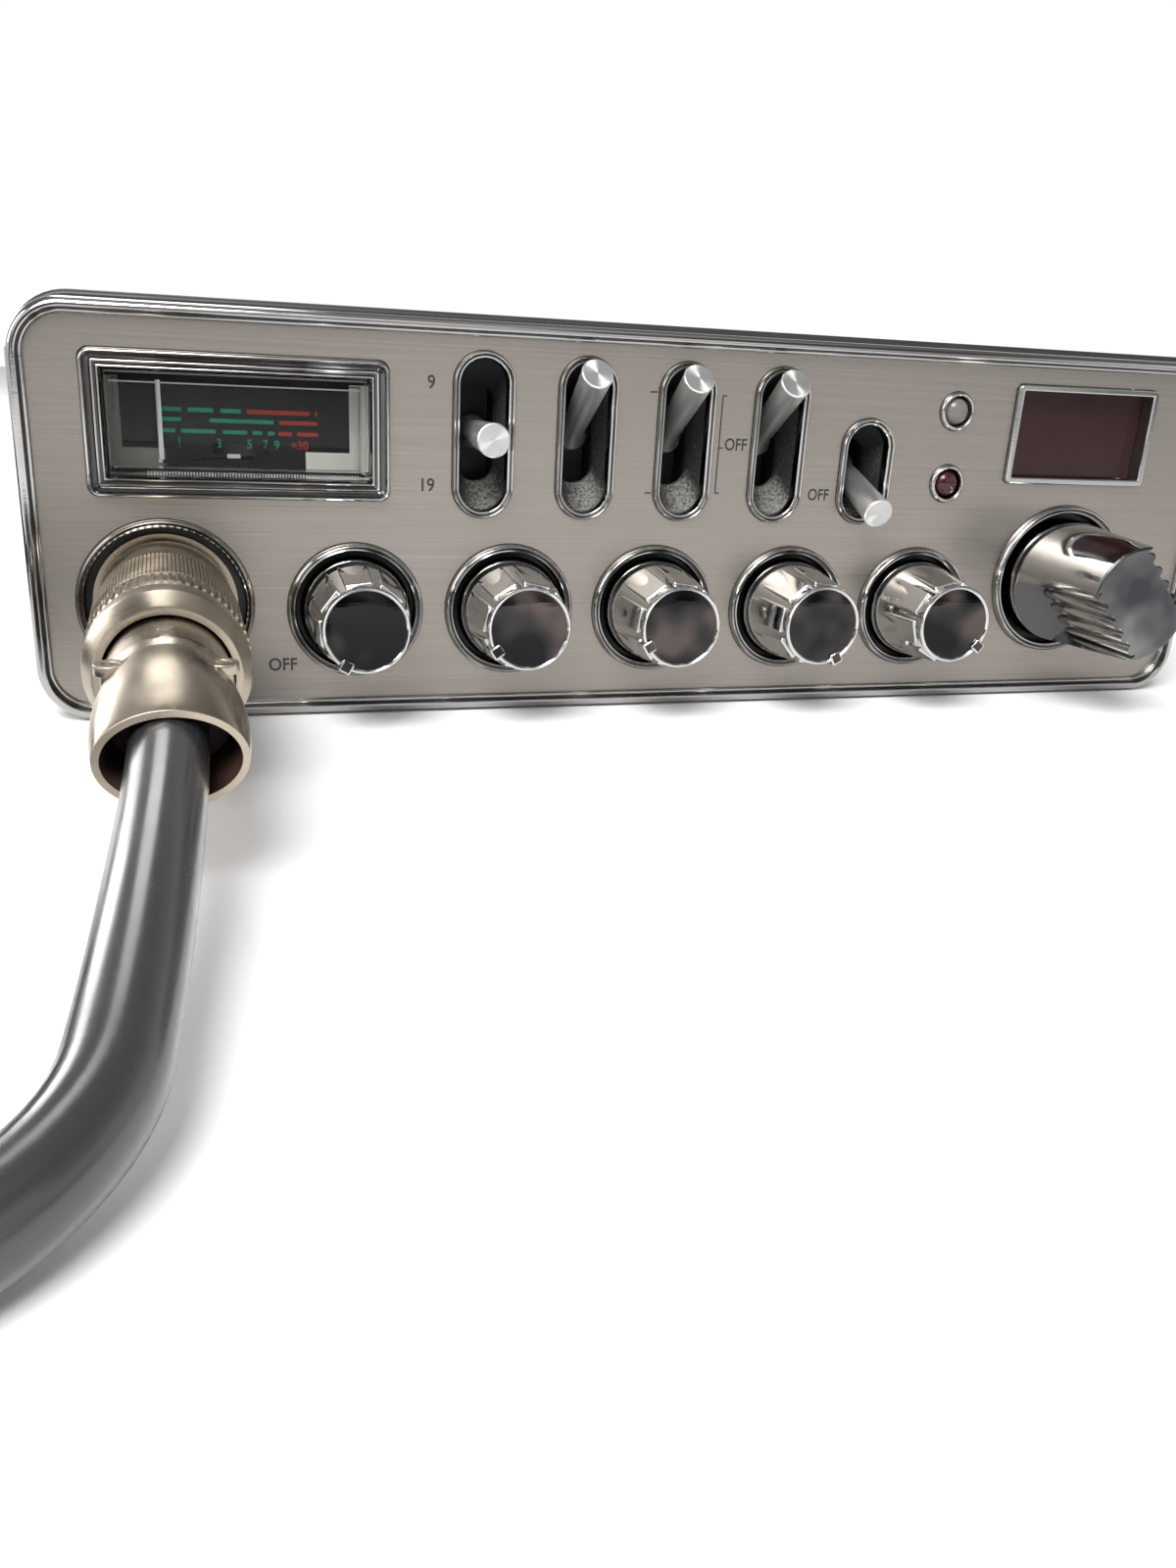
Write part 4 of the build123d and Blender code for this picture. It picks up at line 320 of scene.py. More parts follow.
lead = [plug_axis(CORD_START), plug_axis(60.5), (-79.5, 76.0, 14.2), (-80.2, 90.0, 11.9),
        (-81.2, 103.0, 9.0), (-82.6, 113.5, 6.0), (-90.5, 123.5, 4.2), (-103.5, 128.5, 4.0),
        (-118.5, 128.0, 4.0), (-134.0, 122.5, 4.0)]
turns = TURNS_IN + TURNS_OUT
coil = [coil_point(i / POINTS_PER_TURN) for i in range(round(turns * POINTS_PER_TURN) + 1)]
tail = [(-212.2, 62.5, 12.7), (-212.2, 50.0, 12.7), (-209.6, 37.5, 10.9), (-204.0, 26.5, 8.4),
        (-199.4, 15.0, 5.9), (-198.0, 0.8, 6.9), (-198.0, -12.6, 8.7)]
route = [Vector((x, -PLATE_AHEAD - ahead, z)) * MM for x, ahead, z in lead + coil + tail]

# The bevel is one metre deep, and the radius of each point takes it down to the cord's own.
cord_curve = bpy.data.curves.new("microphone_cord", "CURVE")
cord_curve.dimensions = "3D"
cord_curve.bevel_depth = 1.0
cord_curve.bevel_resolution = CORD_DETAIL
cord_curve.resolution_u = CORD_DETAIL
cord_curve.use_fill_caps = True
spline = cord_curve.splines.new("NURBS")
spline.points.add(len(route) - 1)
for point, place in zip(spline.points, route):
    point.co = (*place, 1)
    point.radius = CORD_RADIUS * MM
spline.order_u = 3
spline.use_endpoint_u = True
cord = bpy.data.objects.new("microphone_cord", cord_curve)
scene.collection.objects.link(cord)
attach(cord, "radio")
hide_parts("mic_cord_lead", "mic_cord_coil", "mic_cord_tail")
print("cord has", len(route), "points")

# %% Cord finish
cord_finish = finish("cord_black", (0.028, 0.028, 0.031), 0.0, 0.22)
set_shader("cord_black", Coat_Weight=0.7, Coat_Roughness=0.22)
spread(cord_finish, pattern(cord_finish, 120, detail=5), "Roughness", 0.16, 0.34)
relief(cord_finish, pattern(cord_finish, 500), 0.00004, 0.4)
paint(cord, "cord_black")

# %% [markdown]
# The pieces that follow are made as a modeller would by hand. A turned piece starts as one
# point, which is drawn out into half of its outline and spun round. A moulded frame starts as
# a flat rounded outline, which is inset and raised step by step.

# %% Helpers for shapes
DOUBLES = 0.002 * MM
TRIM_SMOOTH = 50


def only(piece):
    """Selects one piece and nothing else."""
    bpy.ops.object.select_all(action="DESELECT")
    piece.select_set(True)
    bpy.context.view_layer.objects.active = piece


def begin(name):
    """Starts a piece as a single point at the origin, in edit mode."""
    bpy.ops.object.select_all(action="DESELECT")
    bpy.ops.mesh.primitive_plane_add(size=MM)
    piece = bpy.context.object
    piece.name = name
    bpy.ops.object.mode_set(mode="EDIT")
    bpy.ops.mesh.merge(type="CENTER")
    return piece


def close_up():
    """Merges the doubles of the piece in hand, points its faces outwards and leaves it."""
    bpy.ops.mesh.select_all(action="SELECT")
    bpy.ops.mesh.remove_doubles(threshold=DOUBLES)
    bpy.ops.mesh.normals_make_consistent(inside=False)
    bpy.ops.object.mode_set(mode="OBJECT")


def turned(name, profile, steps=96):
    """Turns an outline of (radius, forward) points, in millimetres, round the Y axis."""
    piece = begin(name)
    place = Vector((0, 0, 0))
    for i, (radius, forward) in enumerate(profile):
        move = Vector((radius, -forward, 0)) * MM - place
        if i:
            bpy.ops.mesh.extrude_vertices_move(TRANSFORM_OT_translate={"value": move})
        else:
            bpy.ops.transform.translate(value=move)
        place += move
    bpy.ops.mesh.select_all(action="SELECT")
    bpy.ops.mesh.spin(steps=steps, angle=2 * pi, center=(0, 0, 0), axis=(0, 1, 0))
    close_up()
    return piece


def smooth(piece, limit):
    """Smooths the shading over edges that turn by less than a limit in degrees."""
    only(piece)
    bpy.ops.object.shade_smooth_by_angle(angle=radians(limit))


def soften(piece, width, segments=2, limit=30):
    """Rounds the sharp edges by a width in millimetres, and smooths the shading."""
    only(piece)
    bevel = piece.modifiers.new("soften", "BEVEL")
    bevel.width = width * MM
    bevel.segments = segments
    bevel.limit_method = "ANGLE"
    bevel.angle_limit = radians(limit)
    bpy.ops.object.modifier_apply(modifier=bevel.name)
    smooth(piece, 35)
    even = piece.modifiers.new("even_shading", "WEIGHTED_NORMAL")
    even.keep_sharp = True
    bpy.ops.object.modifier_apply(modifier=even.name)
    return piece


def put(piece, place, turn=Matrix()):
    """Moves and turns a piece, and keeps its place in its mesh."""
    only(piece)
    piece.matrix_world = Matrix.Translation(place) @ turn
    bpy.ops.object.transform_apply(location=True, rotation=True, scale=True)
    return piece


def again(piece, name, place, turn):
    """A copy of a piece with a mesh of its own, at another place."""
    only(piece)
    bpy.ops.object.duplicate()
    copy = bpy.context.object
    copy.name = name
    return put(copy, place, turn)


def together(name, pieces):
    """Joins pieces into one."""
    only(pieces[0])
    for piece in pieces[1:]:
        piece.select_set(True)
    bpy.ops.object.join()
    pieces[0].name = name
    return pieces[0]


def framed(name, width, height, corner, steps, hollow=True, segments=12):
    """Raises a rounded outline through steps of (inset, ahead), in millimetres."""
    bpy.ops.object.select_all(action="DESELECT")
    bpy.ops.mesh.primitive_plane_add(size=MM, rotation=(pi / 2, 0, 0))
    piece = bpy.context.object
    piece.name = name
    piece.scale = (width, height, 1)
    bpy.ops.object.transform_apply(location=True, rotation=True, scale=True)
    bpy.ops.object.mode_set(mode="EDIT")
    bpy.ops.mesh.select_all(action="SELECT")
    bpy.ops.mesh.bevel(offset=corner * MM, segments=segments, affect="VERTICES")
    bpy.ops.mesh.select_all(action="SELECT")
    bpy.ops.mesh.remove_doubles(threshold=min(10 * DOUBLES, corner * MM / 10))
    inset, ahead = steps[0]
    bpy.ops.transform.translate(value=(0, -ahead * MM, 0))
    for next_inset, next_ahead in steps[1:]:
        if inset < next_inset < corner:
            bpy.ops.mesh.inset(thickness=(next_inset - inset) * MM,
                               depth=(next_ahead - ahead) * MM)
        else:
            move = (0, (ahead - next_ahead) * MM, 0)
            narrower = (width - 2 * next_inset) / (width - 2 * inset)
            lower = (height - 2 * next_inset) / (height - 2 * inset)
            bpy.ops.mesh.extrude_region_move(TRANSFORM_OT_translate={"value": move})
            bpy.ops.transform.resize(value=(narrower, 1, lower), center_override=(0, 0, 0))
        inset, ahead = next_inset, next_ahead
    if hollow:
        open_through(piece)
    close_up()
    return piece


def pick_faces(piece, test):
    """Selects the faces that pass a test, and leaves the piece in edit mode."""
    bpy.ops.object.mode_set(mode="EDIT")
    bpy.ops.mesh.select_mode(type="FACE")
    bpy.ops.mesh.select_all(action="DESELECT")
    bpy.ops.object.mode_set(mode="OBJECT")
    for face in piece.data.polygons:
        face.select = test(face)
    bpy.ops.object.mode_set(mode="EDIT")


def open_through(piece):
    """Takes away a raised outline's front and back, and joins the two rims that are left."""
    pick_faces(piece, lambda face: len(face.vertices) > 4)
    bpy.ops.mesh.delete(type="FACE")
    bpy.ops.mesh.select_mode(type="EDGE")
    bpy.ops.mesh.select_all(action="DESELECT")
    bpy.ops.mesh.select_non_manifold()
    bpy.ops.mesh.bridge_edge_loops()
    bpy.ops.mesh.select_mode(type="VERT")


def raise_faces(piece, thickness, depth, test):
    """Insets and raises, one by one, the faces whose middle passes a test."""
    only(piece)
    pick_faces(piece, lambda face: test(face.center))
    bpy.ops.mesh.inset(thickness=thickness * MM, depth=depth * MM, use_individual=True)
    bpy.ops.mesh.select_mode(type="VERT")
    bpy.ops.object.mode_set(mode="OBJECT")


def every_second(spot, steps):
    """Whether a place lies on every second one of the steps round the Y axis."""
    return int((atan2(spot.z, spot.x) / (2 * pi) + 1) * steps) % 2 == 0


def from_axis(spot, axis=Vector()):
    """How far a place is from an axis along Y, in millimetres."""
    return hypot(spot.x - axis.x, spot.z - axis.z) / MM


def stand_for(piece, node, body="radio"):
    """Puts a piece in the place of a CAD node, on its body, and hides the node."""
    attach(piece, body)
    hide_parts(node)


def inset_of(spot, width, height, corner):
    """How far inside a rounded outline a place lies, in millimetres."""
    across = abs(spot.x) / MM - (width / 2 - corner)
    up = abs(spot.z) / MM - (height / 2 - corner)
    return corner - (hypot(across, up) if across > 0 and up > 0 else max(across, up))


def paint_where(piece, index, test):
    """Gives the faces that pass a test, by middle and normal, another of the piece's finishes."""
    for face in piece.data.polygons:
        if test(face.center, face.normal):
            face.material_index = index


def shade_grooves(piece, depth_of, *grooves):
    """Plates a piece, with painted shade, a darker plating for the dark it mirrors, in its grooves, each from one
    depth inwards to another.
    """
    paint(piece, "chrome_trim", "chrome_painted_shade")
    paint_where(piece, 1, lambda spot, normal: any(start < depth_of(spot) < stop
                                                   for start, stop in grooves))


print("shape helpers ready")

# %% [markdown]
# Plated metal is a mirror with faint wear: fine hairline scratches, a slight haze that comes
# and goes, and a colour a little off neutral. One maker serves all the plated pieces.

# %% Plated and polished metals
def plated(name, colour, haze, wear=0.00002):
    """A mirror finish with hairlines and uneven haze."""
    metal = finish(name, colour, 1.0, haze)
    spread(metal, pattern(metal, 90, detail=6), "Roughness", haze * 0.6, haze * 1.9)
    relief(metal, pattern(metal, 260, (1, 1, 9), detail=2), wear, 0.25)
    relief(metal, pattern(metal, 45, detail=1), wear * 4, 0.25)
    return metal


plated("chrome_trim", (0.40, 0.395, 0.39), 0.09)
# Painted shade: a darker plating for the grooves and slopes of plated trim, standing for the dark they mirror.
plated("chrome_painted_shade", (0.10, 0.097, 0.095), 0.14)
plated("knob_chrome", (0.62, 0.62, 0.61), 0.07)
knob_face = plated("knob_face", (0.05, 0.05, 0.055), 0.05, 0.00004)
tint(knob_face, pattern(knob_face, 130, detail=1),
     [(0.02, 0.02, 0.022), (0.045, 0.042, 0.042), (0.10, 0.08, 0.075)], 0.4, 0.68)
channel_face = plated("channel_face", (0.12, 0.12, 0.125), 0.07, 0.00004)
tint(channel_face, pattern(channel_face, 110, detail=2),
     [(0.05, 0.05, 0.055), (0.11, 0.11, 0.115), (0.2, 0.2, 0.2)], 0.35, 0.7)
plated("plug_nickel", (0.43, 0.37, 0.295), 0.24)
plated("plug_groove_painted_shade", (0.15, 0.125, 0.095), 0.4)
plated("zinc_plate", (0.55, 0.55, 0.53), 0.35, 0.00004)
plated("screw_steel", (0.50, 0.50, 0.50), 0.3)
print("metals:", list(MATERIALS))

# %% [markdown]
# The face plate is aluminium brushed from left to right. The brushing is a pattern stretched
# along X, as height, as roughness and as a faint streak in the colour.

# %% Brushed plate
brushed = finish("brushed_plate", (0.29, 0.26, 0.235), 0.85, 0.34)
streaks = pattern(brushed, 1, (40, 40, 9000), detail=2)
broad_streaks = pattern(brushed, 1, (9, 9, 3200), detail=3)
tint(brushed, broad_streaks, [(0.262, 0.238, 0.214), (0.312, 0.284, 0.256)], 0.25, 0.75)
spread(brushed, streaks, "Roughness", 0.27, 0.38)
relief(brushed, streaks, 0.00001, 0.3)
print("brushed plate ready")

# %% Plastics, paints and the rest
def moulded(name, colour, roughness, grain=1400, depth=0.00002, metallic=0.0):
    """A plastic or paint with a fine grain and a slightly uneven sheen."""
    made = finish(name, colour, metallic, roughness)
    light = [min(part * 1.25 + 0.002, 1) for part in colour]
    tint(made, pattern(made, 60, detail=5), [colour, light], 0.35, 0.8)
    sheen = pattern(made, 130, detail=4)
    spread(made, sheen, "Roughness", roughness * 0.85, min(roughness * 1.2, 1))
    relief(made, pattern(made, grain, detail=2), depth, 0.5)


moulded("black_plastic", (0.018, 0.018, 0.019), 0.42)
moulded("black_gloss", (0.012, 0.012, 0.013), 0.16, 300, 0.000008)
moulded("case_paint", (0.02, 0.02, 0.021), 0.5, 2200, 0.00004)
moulded("heatsink_black", (0.03, 0.03, 0.033), 0.45, 900, 0.00002, 0.5)
moulded("mic_plastic", (0.02, 0.02, 0.021), 0.5, 1100, 0.00005)
moulded("phenolic", (0.06, 0.035, 0.02), 0.55)
moulded("board_green", (0.03, 0.11, 0.035), 0.4, 500)
moulded("paper", (0.05, 0.048, 0.045), 0.9, 700, 0.00008)
moulded("needle_white", (0.85, 0.84, 0.8), 0.5)
moulded("dial_black", (0.008, 0.009, 0.010), 0.55)
moulded("dial_grey", (0.16, 0.16, 0.14), 0.6)
moulded("dial_cream", (0.62, 0.62, 0.56), 0.6)
moulded("dial_teal", (0.015, 0.2, 0.13), 0.55)
moulded("dial_red", (0.32, 0.03, 0.025), 0.55)
moulded("print_ink", (0.015, 0.015, 0.018), 0.55, 3000, 0.000004)
moulded("plug_mouth_painted_shade", (0.045, 0.022, 0.016), 0.6)
DIAL_INKS = ("dial_black", "dial_grey", "dial_cream", "dial_teal", "dial_red")
for name in DIAL_INKS:
    set_shader(name, Specular_IOR_Level=0.15)
for name in ("case_paint", "mic_plastic"):
    set_shader(name, Specular_IOR_Level=0.35)
print("plastics and paints ready")

# %% [markdown]
# Clear pieces let light through. The lamp lenses and the display's window are tinted, and the
# window is so dark that it looks black with a hint of red. The meter's lens bends light less
# than real plastic does, so that the dial shows in its place, as in the photograph.

# %% Clear pieces
PLASTIC_IOR = 1.49


def clear(name, colour, roughness, through=1.0):
    """A clear or tinted plastic."""
    made = finish(name, colour, 0.0, roughness)
    set_shader(name, Transmission_Weight=through, IOR=PLASTIC_IOR)
    haze = pattern(made, 300, detail=5)
    spread(made, haze, "Roughness", roughness * 0.6, roughness * 1.8)


clear("clear_lens", (0.97, 0.98, 0.97), 0.015)
set_shader("clear_lens", IOR=1.16, Specular_IOR_Level=0.25)
clear("lens_edge_highlight", (0.85, 0.86, 0.83), 0.12, 0.35)
clear("lamp_clear", (0.19, 0.18, 0.16), 0.2, 0.25)
clear("lamp_red", (0.05, 0.008, 0.013), 0.14, 0.3)
display_filter = finish("display_filter", (0.022, 0.006, 0.006), 0.0, 0.13)
specks = pattern(display_filter, 900, kind="CELLS")
tint(display_filter, specks, [(0.10, 0.055, 0.05), (0.024, 0.007, 0.007)], 0.03, 0.09)
spread(display_filter, pattern(display_filter, 150, detail=5), "Roughness", 0.08, 0.25)
set_shader("display_filter", Specular_IOR_Level=0.3)
print("clear pieces ready")

# %% [markdown]
# The levers are turned aluminium. Fine lines run round and along them, and the tool's marks on
# the tip catch light in a pair of bright rays.

# %% Lever metal
LEVER_MAP = "turning"
lever_metal = finish("lever_metal", (0.74, 0.74, 0.72), 0.9, 0.4)
turning = pattern(lever_metal, 1, (2600, 60, 60), detail=3)
spread(lever_metal, turning, "Roughness", 0.3, 0.48)
relief(lever_metal, turning, 0.00001, 0.3)
lever_tip = finish("lever_tip", (0.56, 0.56, 0.55), 0.9, 0.34)
spread(lever_tip, pattern(lever_tip, 1500), "Roughness", 0.3, 0.4)
round_marks = lever_tip.node_tree.nodes.new("ShaderNodeTangent")
round_marks.direction_type = "UV_MAP"
round_marks.uv_map = LEVER_MAP
set_shader("lever_tip", Anisotropic=0.85)
lever_tip.node_tree.links.new(round_marks.outputs["Tangent"],
                              shader_of(lever_tip).inputs["Tangent"])
print("lever metal ready")

# %% [markdown]
# The bezel is a plated moulding round the whole face: a broad rounded outer edge, a crest, an
# inner slope with painted shade, a darker plating for the dark it mirrors, and a fine bright
# step down to the plate. It is one rounded outline, inset in small steps of (inset, ahead).

# %% Bezel
BEZEL_CORNER = 7.8
BEZEL_STEPS = [(0, -2.0), (0, 0.35), (0.12, 0.85), (0.38, 1.25), (0.75, 1.5), (1.15, 1.6),
               (1.38, 1.56), (1.5, 1.4), (1.62, 0.9), (1.78, 0.62), (2.0, 0.55), (2.12, 0.6),
               (2.22, 0.5), (2.28, 0.2), (2.28, 0.01)]
low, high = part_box("chrome_bezel")
bezel_size = ((high[0] - low[0]) / MM, (high[2] - low[2]) / MM)
bezel = framed("chrome_bezel_moulding", *bezel_size, BEZEL_CORNER, BEZEL_STEPS, segments=16)
# The inner slope gets painted shade, a darker plating for the dark it mirrors.
shade_grooves(bezel, lambda spot: inset_of(spot, *bezel_size, BEZEL_CORNER), (1.3, 1.8))
put(bezel, (0, FACE_Y, (low[2] + high[2]) / 2))
smooth(bezel, TRIM_SMOOTH)
stand_for(bezel, "chrome_bezel")
print("bezel", [round(side, 1) for side in bezel_size], "mm")

# %% [markdown]
# Each round control sits in a plated ring with a stepped inside. The rings differ only in
# size, so one outline is written once, from its outer edge inwards. The microphone's ring has
# fine beads on its slope. The two lamps have small plain rings.

# %% Control rings
KNOBS = ("volume_knob", "squelch_knob", "calibration_knob", "rf_gain_knob", "mic_gain_knob")
KNOB_RING, CHANNEL_RING, MIC_RING = (10.27, 8.95), (13.07, 11.6), (12.5, 11.2)
RINGS = [(PIVOTS[name].x, PIVOTS[name].z, KNOB_RING) for name in KNOBS]
RINGS.append((PIVOTS["channel_knob"].x, PIVOTS["channel_knob"].z, CHANNEL_RING))
RINGS.append((MIC_X * MM, MIC_Z * MM, MIC_RING))
RING_TURNS, RING_PROUD = 144, 1.3
RING_STEPS = [(0, -1.4), (0, 0.62), (0.10, 0.9), (0.22, 1.0), (0.34, 0.96), (0.52, 0.72),
              (0.64, 0.66), (0.76, 0.72), (0.88, 0.62), (0.94, 0.25), (1, -0.1), (1, -1.4),
              (0, -1.4)]
BEADS_INSIDE, BEADS_OUTSIDE = 11.5, 11.75
LAMP_X, LAMP_HEIGHTS = 46.4, (49.3, 37.45)
LAMP_RING = [(3.16, -0.7), (3.16, 0.3), (3.02, 0.62), (2.8, 0.8), (2.62, 0.78), (2.5, 0.6),
             (2.4, 0.3), (2.4, -0.7), (3.16, -0.7)]


def on_bead(spot):
    """Whether a place on the microphone's ring is on one of its beads."""
    return (BEADS_INSIDE < from_axis(spot) < BEADS_OUTSIDE and spot.y < 0
            and every_second(spot, RING_TURNS))


rings = []
for x, z, (outer, bore) in RINGS:
    wall = outer - bore
    outline = [(outer - share * wall, height * RING_PROUD) for share, height in RING_STEPS]
    ring = turned("ring", outline, RING_TURNS)
    if (outer, bore) == MIC_RING:
        raise_faces(ring, 0.03, 0.13, on_bead)
    # The slope and the bore get painted shade, a darker plating for the dark they mirror.
    shade_grooves(ring, lambda spot: (outer - from_axis(spot)) / wall, (0.36, 0.7), (0.9, 1.1))
    rings.append(put(ring, on_face(x, z)))
for z in LAMP_HEIGHTS:
    ring = turned("ring", LAMP_RING, 64)
    paint(ring, "chrome_trim", "chrome_painted_shade")
    rings.append(put(ring, on_face(LAMP_X * MM, z * MM)))
control_rings = together("control_rings_turned", rings)
smooth(control_rings, TRIM_SMOOTH)
stand_for(control_rings, "control_rings")
print("rings:", len(rings))

# %% [markdown]
# The lever slots have rims of the same kind: a long round-ended outline inset in steps. Its
# corners stay a hair smaller than half its width, so that no two of them meet.

# %% Slot rims
FIRST_SLOT_X, SLOT_PITCH = -34.4, 16.23
SLOTS = [(42.7, 12.25)] * 4 + [(39.0, 8.62)]
SLOT_HALF_WIDTH = 4.75
SLOT_STEPS = [(0, -1.1), (0, 0.45), (0.08, 0.72), (0.22, 0.88), (0.38, 0.84), (0.48, 0.66),
              (0.56, 0.58), (0.74, 0.62), (0.92, 0.6), (1.04, 0.44), (1.12, 0.2), (1.2, -0.3),
              (1.2, -1.1)]
rims = []
for i, (z, half_height) in enumerate(SLOTS):
    size = (2 * SLOT_HALF_WIDTH, 2 * half_height)
    rim = framed("rim", *size, SLOT_HALF_WIDTH - 0.002, SLOT_STEPS)
    # The groove and the inner wall get painted shade, a darker plating for the dark they mirror.
    shade_grooves(rim, lambda spot: inset_of(spot, *size, SLOT_HALF_WIDTH),
                  (0.38, 0.76), (1.05, 1.3))
    rims.append(put(rim, on_face((FIRST_SLOT_X + SLOT_PITCH * i) * MM, z * MM)))
slot_rims = together("slot_rims", rims)
smooth(slot_rims, TRIM_SMOOTH)
stand_for(slot_rims, "slot_rings")
print("slot rims:", len(rims))

# %% [markdown]
# A knob is a tapered plated drum with eight flat grip pads, a thin bright rim, a slightly
# domed black mirror for a face and a small square pointer on the rim. The drum is turned. One
# pad is made from a block and copied round it. The clocks say which way each pointer stands
# in the photograph, in degrees.

# %% Knobs
CLOCKS = dict(zip(KNOBS, (-120, -146, -150, -62, -38)))
KNOB_OUTLINE = [(0, -19.0), (3.0, -19.0), (3.0, 0.3), (8.2, 0.3), (8.42, 0.6), (8.25, 1.8),
                (6.3, 13.2), (6.2, 13.6), (6.32, 13.75), (6.42, 14.1), (6.38, 14.55),
                (6.2, 14.78), (6.0, 14.8), (5.88, 14.7), (5.8, 14.62), (5.2, 14.72),
                (4.0, 14.86), (2.4, 14.96), (0, 15.0)]
FACE_RADIUS, FACE_STARTS, POINTER_FRONT = 5.85, 14.5, 15.1
PADS = 8
PAD_SIZE, PAD_PLACE = (4.7, 11.6, 2.2), Vector((0, -7.1, 6.82)) * MM
PAD_TAPER, PAD_LEAN = (0.86, 1, 0.9), 1.22
POINTER_SIZE, POINTER_PLACE = (1.9, 3.0, 1.9), Vector((0, -13.75, 5.95)) * MM


def block(size):
    """A plain block, of a size in millimetres."""
    bpy.ops.object.select_all(action="DESELECT")
    bpy.ops.mesh.primitive_cube_add(size=MM)
    made = bpy.context.object
    made.scale = size
    bpy.ops.object.transform_apply(scale=True)
    return made


def grip_pad():
    """One flat pad of a knob's grip: a block that leans in and narrows to its front."""
    pad = block(PAD_SIZE)
    pick_faces(pad, lambda face: face.normal.y < -0.5)
    bpy.ops.transform.resize(value=PAD_TAPER)
    bpy.ops.transform.translate(value=(0, 0, -PAD_LEAN * MM))
    bpy.ops.mesh.select_mode(type="VERT")
    bpy.ops.object.mode_set(mode="OBJECT")
    return soften(pad, 0.28, 3)


def knob(name):
    """A whole knob at its place on the face."""
    drum = turned("drum", KNOB_OUTLINE)
    smooth(drum, 40)
    pieces = [drum]
    pad = grip_pad()
    for i in range(PADS):
        turn = Matrix.Rotation(radians(CLOCKS[name] - 90 + 360 / PADS * (i + 0.5)), 4, "Y")
        pieces.append(again(pad, "pad", turn @ PAD_PLACE, turn))
    bpy.data.objects.remove(pad)
    pointer = soften(block(POINTER_SIZE), 0.28, 3)
    turn = Matrix.Rotation(radians(90 - CLOCKS[name]), 4, "Y")
    pieces.append(put(pointer, turn @ POINTER_PLACE, turn))
    whole = together(name + "_plated", pieces)
    paint(whole, "knob_chrome", "knob_face", "zinc_plate")
    paint_where(whole, 1, lambda spot, normal: spot.y < -FACE_STARTS * MM and normal.y < -0.9
                and from_axis(spot) < FACE_RADIUS)
    # Painted reflection: the plated pointer's front face gets the dark face finish.
    paint_where(whole, 1, lambda spot, normal: spot.y < -POINTER_FRONT * MM and normal.y < -0.99)
    paint_where(whole, 2, lambda spot, normal: spot.y > -0.2 * MM)
    pivot = PIVOTS[name]
    put(whole, on_face(pivot.x, pivot.z))
    stand_for(whole, name, body=name)
    return whole


for name in KNOBS:
    made = knob(name)
    print(name, len(made.data.polygons), "faces")

# %% [markdown]
# The channel knob has two scooped finger flats with ribs. That shape comes whole from the
# solid, so its mesh is copied, its doubles are merged and its edges are rounded. Its flat
# front is a grey mirror; its scooped ends get painted shade, darker plating for what they
# mirror. Flat copies also lose the edges inside their flat faces, which a curved one needs.

# %% Refined copies of solids
SCOOP_RADIUS, CHANNEL_FRONT = 10.6, 22.6


def refined(node, width, *names, body="radio", segments=2, flat=True):
    """A copy of a CAD node with merged doubles and rounded edges."""
    only(frame["nodes"][node])
    bpy.ops.object.duplicate()
    copy = bpy.context.object
    copy.name = node + "_finished"
    copy.parent = None
    bpy.ops.object.mode_set(mode="EDIT")
    bpy.ops.mesh.select_all(action="SELECT")
    bpy.ops.mesh.remove_doubles(threshold=2 * DOUBLES)
    if flat:
        bpy.ops.mesh.dissolve_limited(angle_limit=radians(0.6))
    bpy.ops.object.mode_set(mode="OBJECT")
    soften(copy, width, segments, 35)
    paint(copy, *names)
    stand_for(copy, node, body=body)
    return copy


channel_knob = refined("channel_knob", 0.22, "knob_chrome", "channel_face", "chrome_painted_shade",
                       body="channel_knob", flat=False)
# Painted shade: the scooped faces get the darker plating.
paint_where(channel_knob, 2, lambda spot, normal: normal.y < -0.25
            and from_axis(spot, PIVOTS["channel_knob"]) < SCOOP_RADIUS)
paint_where(channel_knob, 1, lambda spot, normal: spot.y < FACE_Y - CHANNEL_FRONT * MM
            and normal.y < -0.95)
print("channel knob", len(channel_knob.data.polygons), "faces")

# %% [markdown]
# The levers taper from the pivot out to a flat tip with a small bright chamfer. Each stands
# as in the photograph, so many degrees down.

# %% Levers
def unwrap_round(piece):
    """Gives a turned piece a map whose first axis runs round its own axis."""
    turns = piece.data.uv_layers.new(name=LEVER_MAP)
    for face in piece.data.polygons:
        middle_turn = atan2(face.center.z, face.center.x) / (2 * pi)
        for loop in face.loop_indices:
            spot = piece.data.vertices[piece.data.loops[loop].vertex_index].co
            radius = hypot(spot.x, spot.z)
            turn = atan2(spot.z, spot.x) / (2 * pi) if radius > 0.01 * MM else middle_turn
            turns.data[loop].uv = (turn - round(turn - middle_turn), radius / MM)


LEVERS = {"priority_lever": 0.0, "meter_lever": 35.4, "band_lever": 35.4, "blanker_lever": 35.4,
          "dual_lever": -20.7}
LEVER_OUTLINE = [(0, -2.6), (1.7, -2.2), (2.6, 0), (1.9, 2.2), (2.0, 4.0), (2.42, 16.6),
                 (2.5, 16.85), (2.46, 17.05), (2.3, 17.2), (1.7, 17.2), (1.1, 17.2), (0.5, 17.2),
                 (0, 17.2)]
TIP_STARTS = 17.1
for name, angle in LEVERS.items():
    lever = turned(name + "_turned", LEVER_OUTLINE, 48)
    unwrap_round(lever)
    smooth(lever, 35)
    paint(lever, "lever_metal", "lever_tip")
    paint_where(lever, 1, lambda spot, normal: spot.y < -TIP_STARTS * MM and normal.y < -0.8)
    put(lever, PIVOTS[name], Matrix.Rotation(radians(-angle), 4, "X"))
    stand_for(lever, name, body=name)
print("levers:", len(LEVERS))

# %% [markdown]
# Marks on the plate: only OFF, plain numbers and the small bracket of the fourth slot. The
# maker's and the model's places stay bare, and so do the other captions.

